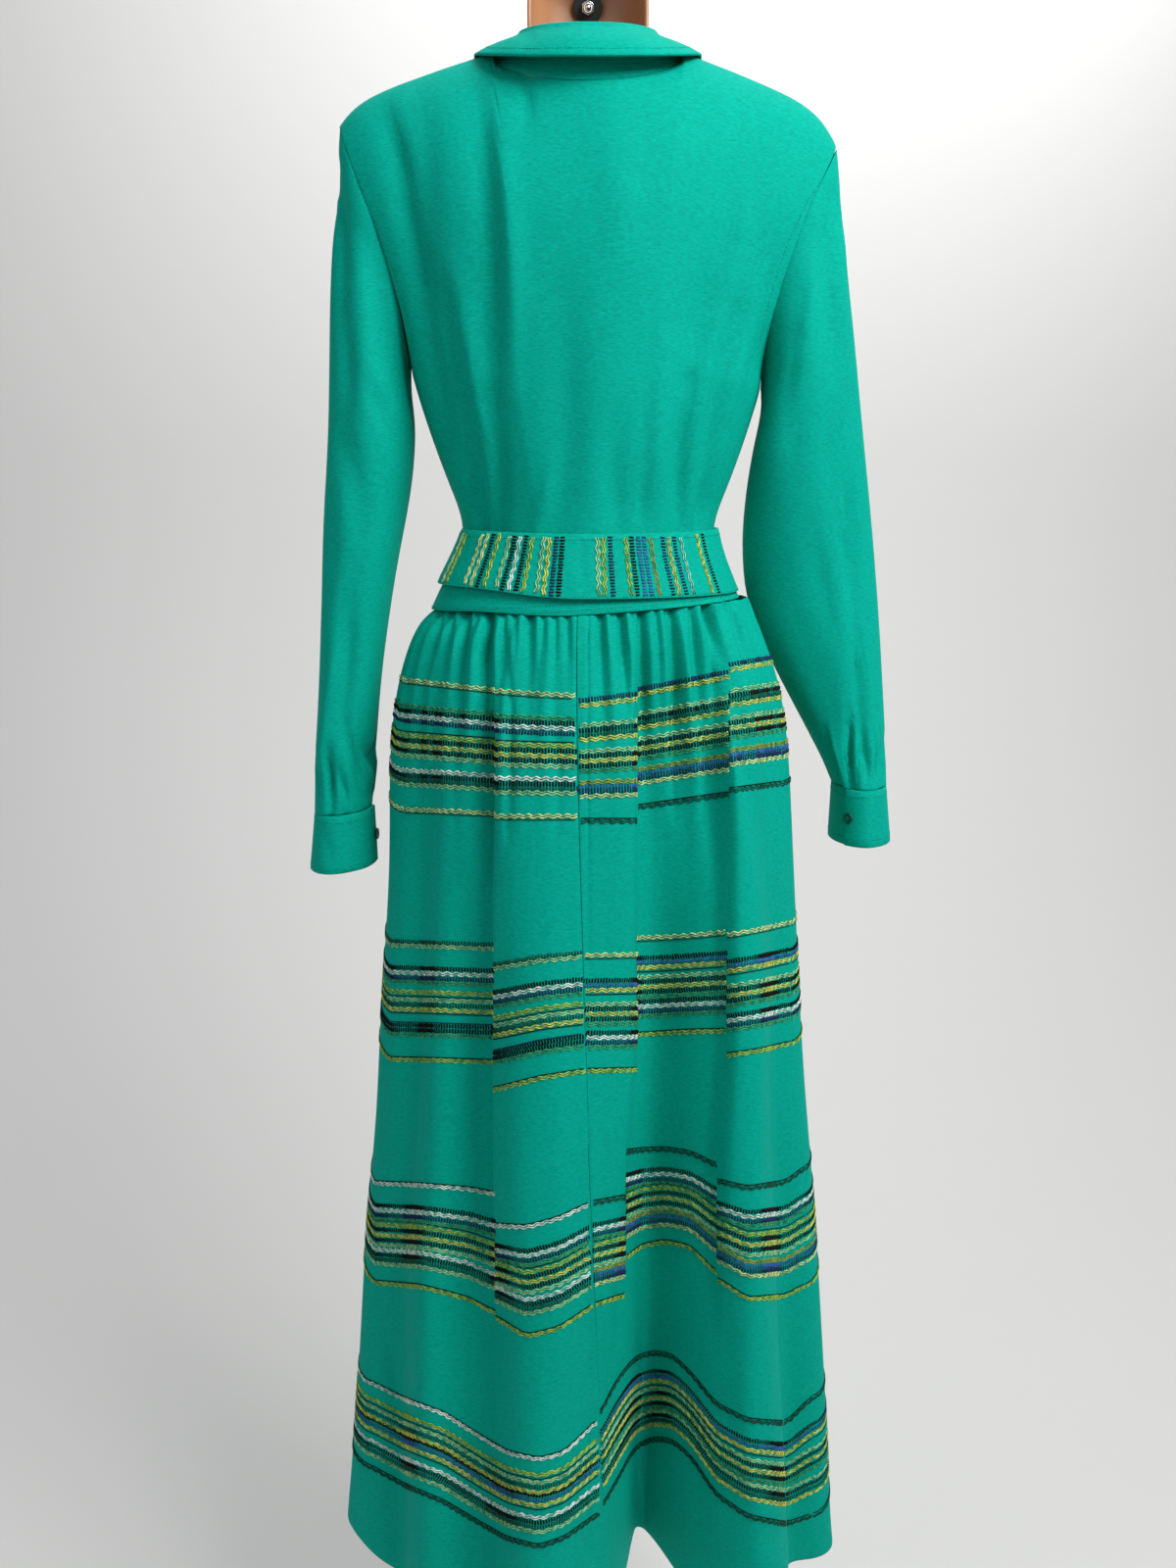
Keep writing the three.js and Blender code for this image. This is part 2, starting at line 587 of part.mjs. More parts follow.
// Front placket, laid on the fronts' own points
const placketTop = 0.995;
const placketRows = bodiceRows.map((v) => Math.min(v, placketTop));
const placketAngles = [-1, 0, 1];
const frontSurface = (a, v) => bodicePoint("front", a, v);
const placketPoint = (side, v, out) => {
  const z = frontSurface(0, v).z;
  const a = (Math.asin((side * FRONT_PLACKET_HALF) / halfWidth(side, z)) * 180) / Math.PI;
  const n = normalOf(frontSurface, a, v, 0.6, v > 0.5 ? -1e-5 : 1e-5, point(0, 0, z));
  return frontSurface(a, v).addScaledVector(n, out);
};
const placketRise = LAYER + CLOTH;
wall(
  "front_placket",
  placketRows.map((v) => placketAngles.map((side) => placketPoint(side, Math.max(v, 0.004), placketRise))),
  placketRows.map((v) => placketAngles.map((side) => placketPoint(side, Math.max(v, 0.004), LAYER))),
  dye,
);

// Sleeves

const SLEEVES = { left: SLEEVE_LEFT, right: SLEEVE_RIGHT };

function sleevePoint(arm, u, angle, folded = true) {
  const rows = SLEEVES[arm];
  const sign = arm === "left" ? -1 : 1;
  const at = (column) => along(rows, "at", column, u);
  const turn = radians(angle);
  const half = Math.cos(turn) / 2;
  const middleX = (at("outX") + at("inX")) / 2;
  const middleZ = (at("outZ") + at("inZ")) / 2;
  const oval = point(
    sign * (middleX + (at("outX") - at("inX")) * half),
    at("mid") - at("deep") * Math.sin(turn),
    middleZ + (at("outZ") - at("inZ")) * half,
  );
  const start = armholePoint(arm, ((angle % 360) + 360) % 360);
  start.x += sign * (middleX - (rows[0].outX + rows[0].inX) / 2);
  start.z += middleZ - (rows[0].outZ + rows[0].inZ) / 2;
  const blend = Math.sin((Math.PI / 2) * clamp(u / 0.28));
  const here = start.lerp(oval, blend);
  if (!folded) return here;
  let out = 0;
  for (const fold of SLEEVE_FOLDS) {
    if (fold.arm !== arm) continue;
    const run = smooth((u - fold.from) / 0.08) * smooth((fold.to - u) / 0.15);
    out += fold.deep * bell((angle - fold.at) / fold.wide) * run;
  }
  const away = point(sign * middleX, at("mid"), here.z).sub(here).normalize();
  return here.addScaledVector(away, -out);
}

const sleeveRows = [0, 0.05, 0.11, 0.18, 0.27, 0.37, 0.48, 0.6, 0.72, 0.83];
const pleatRows = [0.9, 0.95, 0.98, 1];
function sleeve(arm) {
  const surface = (u, a) => sleevePoint(arm, u, a);
  const outer = [];
  const inner = [];
  const ring = (u, count) => {
    const angles = Array.from({ length: count }, (_, j) => (360 * j) / count);
    const out = angles.map((a) => surface(u, a));
    const middle = sleevePoint(arm, u, 0, false).lerp(sleevePoint(arm, u, 180, false), 0.5);
    const stepU = u > 0.5 ? -1e-4 : 1e-4;
    outer.push(out);
    inner.push(
      out.map((p, j) => {
        const n = normalOf(surface, u, angles[j], stepU, 0.05, middle);
        return p.clone().addScaledVector(n, -CLOTH);
      }),
    );
  };
  pleatRows.slice().reverse().forEach((u) => ring(u, 4 * ARMHOLE_ROWS));
  sleeveRows.slice().reverse().forEach((u) => ring(u, 2 * ARMHOLE_ROWS));
  outer.at(-1).forEach((p, j) => {
    const mitre = armholeMitre(arm, (180 * j) / ARMHOLE_ROWS);
    p.copy(mitre.here).addScaledVector(mitre.across, SEAM / 2);
    inner.at(-1)[j].copy(p).addScaledVector(mitre.inward, CLOTH);
  });
  return wall("sleeve_" + arm, outer, inner, dye, true);
}

sleeve("left");
sleeve("right");

// Cuffs: a strip round the sleeve's end, its last part lapped over its first

function cuffPoint(arm, angle, down, out) {
  const end = sleevePoint(arm, 1, angle, false);
  const middle = sleevePoint(arm, 1, 0, false).lerp(sleevePoint(arm, 1, 180, false), 0.5);
  const away = end.clone().sub(middle).setZ(0).normalize();
  const sign = arm === "left" ? -1 : 1;
  end.addScaledVector(away, out + (CUFF_SPLAY * down) / CUFF_HIGH);
  end.x += (sign * 3 * down) / CUFF_HIGH;
  end.z -= SEAM + down;
  return end;
}

const cuffDowns = [0, CUFF_HIGH / 2, CUFF_HIGH];
const CUFF_COLUMNS = 36;
function cuff(arm) {
  const start = CUFF_LAP_AT[arm] - CUFF_LAP / 2;
  const columns = Array.from({ length: CUFF_COLUMNS + 4 }, (_, j) => (360 * j) / CUFF_COLUMNS);
  const lift = (turn) => (CUFF_CLOTH + LAYER) * smooth((turn - 325) / 25);
  const face = (out) =>
    cuffDowns.map((down) =>
      columns.map((turn) => cuffPoint(arm, start + turn, down, out + lift(turn))),
    );
  return wall("cuff_" + arm, face(0), face(-CUFF_CLOTH), dye);
}
cuff("left");
cuff("right");

// Collar stand and collar: the turn is 0 at the centre back and 180 at the centre front

function neckSpot(spec, turn) {
  const c = Math.cos(radians(turn));
  const back = c > 0;
  return point(
    spec.side * Math.sin(radians(turn)),
    back ? -spec.back * c : -spec.front * c,
    spec.z - (back ? spec.backDrop : spec.frontDrop) * Math.abs(c),
  );
}

function neckline(turn) {
  const c = Math.cos(radians(turn));
  const share = NECK_SHARE * Math.sin(radians(turn));
  const angle = (Math.asin(share) * 180) / Math.PI;
  return bodicePoint(c >= 0 ? "back" : "front", angle, 1);
}

const collarTurns = [];
for (let k = -2 * NECK_COLUMNS; k <= 2 * NECK_COLUMNS; k++) {
  collarTurns.push((90 * k) / NECK_COLUMNS);
}
function standPoint(turn, share) {
  return neckline(turn).lerp(neckSpot(STAND_TOP, turn), share);
}
function standFace(out) {
  return [0, 0.5, 1].map((share) =>
    collarTurns.map((turn) => {
      const here = standPoint(turn, share);
      const up = neckSpot(STAND_TOP, turn).sub(neckline(turn)).normalize();
      const around = standPoint(turn + 1, share).sub(standPoint(turn - 1, share)).normalize();
      const away = around.cross(up).normalize();
      if (away.dot(point(here.x, here.y, 0)) < 0) away.negate();
      return here.addScaledVector(up, share === 0 ? SEAM : 0).addScaledVector(away, out);
    }),
  );
}
const standOuter = standFace(0);
const standInner = standFace(-CLOTH);
easeSeams(standOuter, standInner, ["first", "last"]);
wall("collar_stand", standOuter, standInner, dye);

function collarEdge(turn) {
  const edge = neckSpot(COLLAR_EDGE, turn);
  const towardsFront = clamp((Math.abs(turn) - 140) / 40);
  edge.z -= COLLAR_POINT * towardsFront ** 2;
  return edge;
}
function collarMiddle(turn, row) {
  const top = neckSpot(STAND_TOP, turn);
  const away = point(top.x, top.y * 0.9, 0).normalize();
  const roll = COLLAR_ROLL[Math.min(row, COLLAR_ROLL.length - 1)];
  top.addScaledVector(away, roll.out);
  top.z += roll.up;
  const fall = row - COLLAR_ROLL.length + 1;
  if (fall <= 0) return top;
  const share = fall / COLLAR_FALL_ROWS;
  const here = top.lerp(collarEdge(turn), share);
  return here.addScaledVector(away, 4 * Math.sin(Math.PI * share));
}
const collarRows = COLLAR_ROLL.length + COLLAR_FALL_ROWS;
function collarFace(half) {
  const rows = [];
  for (let row = 0; row < collarRows; row++) {
    rows.push(
      collarTurns.map((turn) => {
        const here = collarMiddle(turn, row);
        const next = collarMiddle(turn, Math.min(row + 1, collarRows - 1));
        const down = next.sub(collarMiddle(turn, Math.max(row - 1, 0)));
        const around = collarMiddle(turn + 1, row).sub(collarMiddle(turn - 1, row));
        return here.addScaledVector(down.cross(around).normalize(), half);
      }),
    );
  }
  return rows;
}
const collarOuter = collarFace(COLLAR_CLOTH / 2);
const collarInner = collarFace(-COLLAR_CLOTH / 2);
for (const end of [0, collarTurns.length - 1]) {
  const shift = end === 0 ? -1.5 : 1.5;
  [...collarOuter, ...collarInner].forEach((row) => (row[end].x += shift));
}
wall("collar", collarOuter, collarInner, dye);

// Waistband and belt

function bandPoint(rows, angle, z, out) {
  const s = Math.sin(radians(angle));
  const c = Math.cos(radians(angle));
  const wide = along(rows, "z", s < 0 ? "left" : "right", z) + out;
  const deep = along(rows, "z", c > 0 ? "back" : "front", z) + out;
  return point(wide * s, -deep * c, z);
}
const skirtSeam = (angle) => SKIRT_SEAM + SEAM_TILT * Math.sin(radians(angle));

const BAND_COLUMNS = 52;
const bandAngles = Array.from({ length: BAND_COLUMNS + 1 }, (_, j) => (360 * j) / BAND_COLUMNS - 180);
function waistbandFace(out) {
  return [1, 0.5, 0].map((share) =>
    bandAngles.map((angle) => {
      const z = mix(skirtSeam(angle) + SEAM / 2, WAIST_SEAM - SEAM / 2, share);
      return bandPoint(WAISTBAND, angle, z, out);
    }),
  );
}
const bandOuter = waistbandFace(0);
const bandInner = waistbandFace(-CLOTH);
easeSeams(bandOuter, bandInner, ["first", "last"]);
wall("waistband", bandOuter, bandInner, dye);

function beltPoint(angle, share, out) {
  const lap = smooth((angle - 156) / 14) * (BELT_CLOTH + LAYER);
  const dip = BELT_DIP * Math.cos(radians(angle)) * (angle > -90 && angle < 90 ? 1 : 0);
  const z = mix(BELT[0].z + 3, BELT.at(-1).z, share);
  const here = bandPoint(BELT, angle, z, out + lap);
  here.z -= dip * mix(0.4, 1, share);
  return here;
}
const beltAngles = Array.from(
  { length: BAND_COLUMNS + 4 },
  (_, j) => -180 + ((360 + BELT_LAP) * j) / (BAND_COLUMNS + 3),
);
const beltFace = (out) =>
  Array.from({ length: BELT_ROWS + 1 }, (_, i) =>
    beltAngles.map((angle) => beltPoint(angle, 1 - i / BELT_ROWS, out)),
  );
wall("belt", beltFace(0), beltFace(-BELT_CLOTH), dye);

// Skirt: the angle is 0 at the centre back, 90 at the right side; down is 0 at the waist, 1000 at the hem

function skirtBase(angle, down) {
  const z = skirtSeam(angle) * (1 - down / 1000);
  const s = Math.sin(radians(angle));
  const c = Math.cos(radians(angle));
  const lookup = down < 1 ? Math.max(z, 1009) : z;
  const wide = along(SKIRT, "z", s < 0 ? "left" : "right", lookup);
  const deep = along(SKIRT, "z", c > 0 ? "back" : "front", lookup);
  const away = point(s / wide, -c / deep, 0).normalize();
  let out = 0;
  for (const fold of SKIRT_FOLDS) {
    const centre = mix(fold.top, fold.hem, down / 1000);
    let off = angle - centre;
    off -= 360 * Math.round(off / 360);
    const high = smooth(down / 120);
    const size =
      down < 500 ? mix(fold.low, fold.mid, down / 500) : mix(fold.mid, fold.end, (down - 500) / 500);
    out += size * high * bell(off / fold.wide);
  }
  return point(wide * s, -deep * c, z).addScaledVector(away, out);
}

const PANELS = {
  back_left: { from: () => -90, to: (down) => mix(BACK_SEAM.top, BACK_SEAM.hem, down / 1000) },
  back_right: { from: (down) => mix(BACK_SEAM.top, BACK_SEAM.hem, down / 1000), to: () => 90 },
  front_right: { from: () => 90, to: () => 180 },
  front_left: { from: () => 180, to: () => 270 },
};

// Valleys lie on columns 2, 6, 10 and so on, with crests between
function gatherAngle(panel, column, down) {
  const valleys = GATHERS[panel];
  const { from, to } = PANELS[panel];
  const knots = [from(0)];
  for (let k = 0; k < valleys.length; k++) {
    knots.push(valleys[k].at);
    knots.push(k + 1 < valleys.length ? (valleys[k].at + valleys[k + 1].at) / 2 : to(0));
  }
  const i = clamp(Math.floor(column / 2), 0, knots.length - 2);
  const angle = mix(knots[i], knots[i + 1], column / 2 - i);
  const share = (angle - from(0)) / (to(0) - from(0));
  return mix(from(down), to(down), share);
}
function gatherDepth(panel, column, down) {
  const valleys = GATHERS[panel];
  const k = clamp((column - 2) / 4, 0, valleys.length - 1);
  const i = Math.min(Math.floor(k), valleys.length - 2);
  const deep = mix(valleys[i].deep, valleys[i + 1].deep, k - i);
  const long = mix(valleys[i].long, valleys[i + 1].long, k - i);
  const ends = clamp(Math.min(column, 4 * valleys.length - column));
  const grow = mix(0.55, 1, smooth(down / 25));
  return -deep * ends * grow * Math.cos((Math.PI * (column - 2)) / 2) * (1 - smooth(down / long));
}
function skirtFace(panel, out) {
  const count = 4 * GATHERS[panel].length;
  const row = (down, step) => {
    const points = [];
    for (let j = 0; j <= count; j += step) {
      const angle = gatherAngle(panel, j, down);
      const n = normalOf(skirtBase, angle, down, 0.02, down > 500 ? -0.2 : 0.2, point(0, 0, skirtBase(angle, down).z));
      points.push(skirtBase(angle, down).addScaledVector(n, gatherDepth(panel, j, down) + out));
    }
    return points;
  };
  return [...GATHERED_ROWS.map((down) => row(down, 1)), ...SMOOTH_ROWS.map((down) => row(down, 2))];
}
for (const panel of Object.keys(PANELS)) {
  const outer = skirtFace(panel, 0);
  const inner = skirtFace(panel, -SKIRT_CLOTH);
  [outer[0], inner[0]].flat().forEach((p) => (p.z -= SEAM / 2));
  easeSeams(outer, inner, ["first", "last"]);
  wall("skirt_" + panel, outer, inner, dye);
}

// Lower end of the front opening, laid on the skirt's own points
function skirtPlacketFace(out) {
  return GATHERED_ROWS.map((down) =>
    [-1, 0, 1].map((side) => {
      const angle = 180 + side * PLACKET_HALF;
      const n = normalOf(skirtBase, angle, down, 0.02, 0.2, point(0, 0, skirtBase(angle, down).z));
      const here = skirtBase(angle, down).addScaledVector(n, out);
      here.z -= down === 0 ? SEAM : 0;
      return here;
    }),
  );
}
const skirtPlacketRise = 0.6;
wall(
  "skirt_placket",
  skirtPlacketFace(skirtPlacketRise + CLOTH),
  skirtPlacketFace(skirtPlacketRise),
  dye,
);

// Buttons

function disc(name, centre, axis, radius, thick, sides, material) {
  const geometry = new THREE.CylinderGeometry(radius, radius, thick, sides);
  geometry.applyQuaternion(new THREE.Quaternion().setFromUnitVectors(point(0, 1, 0), axis));
  geometry.translate(centre.x, centre.y, centre.z);
  const mesh = new THREE.Mesh(geometry, material);
  mesh.name = name;
  group.add(mesh);
  return mesh;
}
const { radius: buttonRadius, thick: buttonThick, sides: buttonSides } = BUTTON;
const buttonLift = LAYER + buttonThick / 2;

FRONT_BUTTONS.forEach((height, k) => {
  let v = 0.5;
  for (let step = 0.25; step > 1e-5; step /= 2) {
    v += frontSurface(0, v).z < height ? step : -step;
  }
  const axis = normalOf(frontSurface, 0.01, v, 0.6, 1e-5, point(0, 0, height));
  const centre = placketPoint(0, v, placketRise).addScaledVector(axis, buttonLift);
  disc("button_front_" + (k + 1), centre, axis, buttonRadius, buttonThick, buttonSides, horn);
});
SKIRT_BUTTONS.forEach((down, k) => {
  const axis = normalOf(skirtBase, 180, down, 0.02, 0.2, point(0, 0, skirtBase(180, down).z));
  const rise = skirtPlacketRise + CLOTH + buttonLift;
  const centre = skirtBase(180, down).addScaledVector(axis, rise);
  disc("button_skirt_" + (k + 1), centre, axis, buttonRadius, buttonThick, buttonSides, horn);
});
for (const arm of ["left", "right"]) {
  const angle = CUFF_LAP_AT[arm] + 8;
  const surface = (a, down) => cuffPoint(arm, a, down, CUFF_CLOTH + LAYER);
  const middle = cuffPoint(arm, 0, 27, 0).lerp(cuffPoint(arm, 180, 27, 0), 0.5);
  const axis = normalOf(surface, angle, CUFF_HIGH / 2, 0.5, 0.5, middle);
  const centre = surface(angle, CUFF_HIGH / 2).addScaledVector(axis, buttonLift);
  disc("cuff_button_" + arm, centre, axis, buttonRadius, buttonThick, buttonSides, horn);
}

// Hanging body form: a shell open at the back, and a bore in its neck for the hook's shank

const wasm = await Module();
wasm.setup();
const { Manifold, Mesh } = wasm;

// How far forward the inner face of the fronts is at this place, or null above them
function clothRoom(x, z) {
  const angleAt = (v) => {
    const side = x < 0 ? "left" : "right";
    const share = clamp(x / halfWidth(x, sideHeight(side, v)), -1, 1);
    return (Math.asin(share) * 180) / Math.PI;
  };
  if (bodicePoint("front", angleAt(1), 1).z < z) return null;
  let v = 0.5;
  for (let step = 0.25; step > 1e-4; step /= 2) {
    v += bodicePoint("front", angleAt(v), v).z < z ? step : -step;
  }
  return bodicePoint("front", angleAt(v), v).y - CLOTH;
}

function formPoint(k, turn) {
  const row = FORM[k];
  const s = Math.sin(radians(turn));
  const c = Math.cos(radians(turn));
  const x = row.rimX * s;
  let rimZ = row.rimZ;
  if (k >= FORM_SHOULDER_ROWS[0] && k <= FORM_SHOULDER_ROWS[1]) {
    const share = Math.sign(s) * Math.min(1, row.rimX / halfWidth(s, SIDES.left.tip));
    rimZ = topHeight("back", share) - CLOTH - FORM_REST;
  }
  const z = mix(rimZ, row.frontZ, c);
  let y = mix(FORM_RIM_Y, row.frontY, c ** 0.9);
  const room = k >= FORM_SHOULDER_ROWS[0] ? clothRoom(x, z) : null;
  if (room !== null && y > 0) y = Math.max(Math.min(y, room - FORM_CLEAR), 0);
  return point(x, y, z);
}
const formTurns = Array.from({ length: FORM_COLUMNS + 1 }, (_, j) => (180 * j) / FORM_COLUMNS - 90);
const formOuter = FORM.map((row, k) => formTurns.map((turn) => formPoint(k, turn)));
const formInner = FORM.map((row, i) =>
  formTurns.map((turn, j) => {
    const before = formOuter[Math.max(i - 1, 0)];
    const after = formOuter[Math.min(i + 1, FORM.length - 1)];
    const down = after[j].clone().sub(before[j]);
    const left = formOuter[i][Math.max(j - 1, 0)];
    const right = formOuter[i][Math.min(j + 1, FORM_COLUMNS)];
    const away = right.clone().sub(left).cross(down).normalize();
    if (j === 0 || j === FORM_COLUMNS) away.setY(0).normalize();
    return formOuter[i][j].clone().addScaledVector(away, away.dot(point(0, 1, 0)) > 0 || Math.abs(turn) > 89 ? -FORM_WALL : FORM_WALL);
  }),
);
formTurns.forEach((turn, j) => {
  if (Math.abs(turn) < 89) return;
  formInner.forEach((row, i) => {
    const before = formOuter[Math.max(i - 1, 0)][j];
    const after = formOuter[Math.min(i + 1, FORM.length - 1)][j];
    const down = after.clone().sub(before).normalize();
    const away = point(-down.z, 0, down.x);
    if (away.dot(point(Math.sign(turn), 0, 0.4)) < 0) away.negate();
    row[j].copy(formOuter[i][j]).addScaledVector(away, -FORM_WALL);
  });
});
const formMesh = wall("torso_form", formOuter, formInner, plastic);
group.remove(formMesh);

const fixingAxis = point(0, -Math.cos(radians(FIXING.tilt)), -Math.sin(radians(FIXING.tilt)));
const fixingSpot = point(0, FIXING.y, FIXING.z);
const fromFixing = (far) => fixingSpot.clone().addScaledVector(fixingAxis, far);

function toSolid(mesh) {
  const places = mesh.geometry.attributes.position.array;
  const solid = new Manifold(
    new Mesh({
      numProp: 3,
      vertProperties: Float32Array.from(places),
      triVerts: Uint32Array.from(mesh.geometry.index.array),
    }),
  );
  return solid;
}

const boreSolid = Manifold.cylinder(30, HOOK_BORE, HOOK_BORE, 20, true);
const boreTurn = new THREE.Matrix4().makeRotationFromQuaternion(
  new THREE.Quaternion().setFromUnitVectors(point(0, 0, 1), fixingAxis),
);
boreTurn.setPosition(fromFixing(-6));
const formSolid = toSolid(formMesh).subtract(boreSolid.transform(boreTurn.elements));
const cut = formSolid.getMesh();
const formGeometry = new THREE.BufferGeometry();
formGeometry.setAttribute("position", new THREE.BufferAttribute(cut.vertProperties, 3));
formGeometry.setIndex(new THREE.BufferAttribute(cut.triVerts, 1));
formGeometry.computeVertexNormals();
const form = new THREE.Mesh(formGeometry, plastic);
form.name = "torso_form";
group.add(form);

// A ring round an axis; with six sides it is a nut
function ring(name, centre, axis, inside, outside, thick, sides, material) {
  const profile = [
    [inside, -thick / 2],
    [outside, -thick / 2],
    [outside, thick / 2],
    [inside, thick / 2],
    [inside, -thick / 2],
  ].map(([x, y]) => new THREE.Vector2(x, y));
  const geometry = new THREE.LatheGeometry(profile, sides);
  geometry.applyQuaternion(new THREE.Quaternion().setFromUnitVectors(point(0, 1, 0), axis));
  geometry.translate(centre.x, centre.y, centre.z);
  const mesh = new THREE.Mesh(geometry, material);
  mesh.name = name;
  group.add(mesh);
}
const washerAt = WASHER.thick / 2;
ring("form_washer", fromFixing(washerAt), fixingAxis, 3.5, WASHER.radius, WASHER.thick, 24, rubber);
const nutAt = WASHER.thick + 0.35 + NUT.thick / 2;
ring("form_nut", fromFixing(nutAt), fixingAxis, 4, NUT.radius, NUT.thick, 6, chrome);

const loopZ = HOOK_TOP - HOOK_LOOP + HOOK_WIRE / 2;
const loopSpot = (turn) =>
  point(-HOOK_LOOP * Math.sin(radians(turn)), 0, loopZ - HOOK_LOOP * Math.cos(radians(turn)));
const hookPath = new THREE.CatmullRomCurve3([
  fromFixing(NUT.stub),
  fromFixing(4),
  fromFixing(-4),
  fromFixing(-12),
  point(0, 57, 1524),
  point(0, 57, 1544),
  point(0, 40, 1562),
  point(0, 14, 1572),
  point(0, 0, 1584),
  ...[30, 70, 110, 150, 180, 210, 250, 290].map(loopSpot),
]);
const wireSection = new THREE.Shape();
wireSection.absarc(0, 0, HOOK_WIRE / 2, 0, 2 * Math.PI);
const hookGeometry = new THREE.ExtrudeGeometry(wireSection, {
  steps: 34,
  curveSegments: 5,
  extrudePath: hookPath,
});
const hook = new THREE.Mesh(hookGeometry, chrome);
hook.name = "form_hook";
group.add(hook);

group.position.set(0, 0, -HOOK_TOP);

export default group;
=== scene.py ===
import json
import math

import bmesh
import bpy
import numpy as np
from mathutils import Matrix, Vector
from mathutils.bvhtree import BVHTree

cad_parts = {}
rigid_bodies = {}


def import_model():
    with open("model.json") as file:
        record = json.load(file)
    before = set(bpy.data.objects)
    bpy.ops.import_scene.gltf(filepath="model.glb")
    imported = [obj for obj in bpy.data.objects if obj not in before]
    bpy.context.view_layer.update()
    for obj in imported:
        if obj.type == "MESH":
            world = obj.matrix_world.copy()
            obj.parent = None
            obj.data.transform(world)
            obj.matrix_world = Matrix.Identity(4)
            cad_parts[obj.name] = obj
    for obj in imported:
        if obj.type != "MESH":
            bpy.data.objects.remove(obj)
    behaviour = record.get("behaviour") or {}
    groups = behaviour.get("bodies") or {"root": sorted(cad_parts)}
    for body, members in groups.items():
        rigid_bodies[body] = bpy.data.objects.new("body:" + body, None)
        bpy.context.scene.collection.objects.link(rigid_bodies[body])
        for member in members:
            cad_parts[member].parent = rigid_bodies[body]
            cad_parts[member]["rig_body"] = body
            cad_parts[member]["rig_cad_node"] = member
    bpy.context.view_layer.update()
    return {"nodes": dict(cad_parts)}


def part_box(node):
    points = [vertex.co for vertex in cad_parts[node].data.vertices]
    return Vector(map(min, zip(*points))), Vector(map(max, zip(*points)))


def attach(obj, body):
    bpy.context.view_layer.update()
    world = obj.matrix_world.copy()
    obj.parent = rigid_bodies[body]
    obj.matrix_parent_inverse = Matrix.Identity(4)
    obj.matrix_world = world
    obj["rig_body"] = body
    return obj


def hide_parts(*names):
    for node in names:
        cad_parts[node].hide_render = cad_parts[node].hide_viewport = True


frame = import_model()
nodes = frame["nodes"]
rng = np.random.default_rng(11)

# Sizes in millimetres, heights above the hem
HEM_TO_HOOK = 1632
MM = 0.001
SKIRT_SEAM = 1000
SEAM_TILT = 9
GATHER_TOP = 998
BELT_TOP_REACH = 114
# The backdrop: its wall, the sweep at its foot, its floor, and how far it reaches
WALL_Y = 2700
SWEEP = 1700
SWEEP_STEPS = 12
FLOOR_Z = -420
WALL_TOP = 4200
STAGE_REACH = 5000

# The camera, and the frame that it fills in pixels
EYE_AT = (0, -1100, 1075)
TILT_DOWN = 12.5
LENS = 27.045
FRAME_WIDE = 1200
FRAME_HIGH = 1600
FOCUS = 1202

# Half-widths and depths of the skirt by height
SKIRT = [
    (0, 254, 258, 152, 165),
    (122, 243, 248, 149, 160),
    (302, 231, 234, 145, 155),
    (505, 210, 214, 141, 149),
    (693, 191, 199, 137, 143),
    (783, 185, 193, 135, 140),
    (869, 184, 186, 132, 136),
    (925, 174, 179, 127, 130),
    (953, 167, 170, 122, 126),
    (980, 154, 157, 117, 121),
    (1009, 141, 147, 111, 113),
]
# Half-widths and depths of the belt by height
BELT = [
    (1012, 140, 140, 113, 118),
    (1030, 132, 132.5, 107, 113.5),
    (1050, 122.5, 124, 100.5, 110.5),
    (1071, 115.5, 119, 95.5, 109),
]

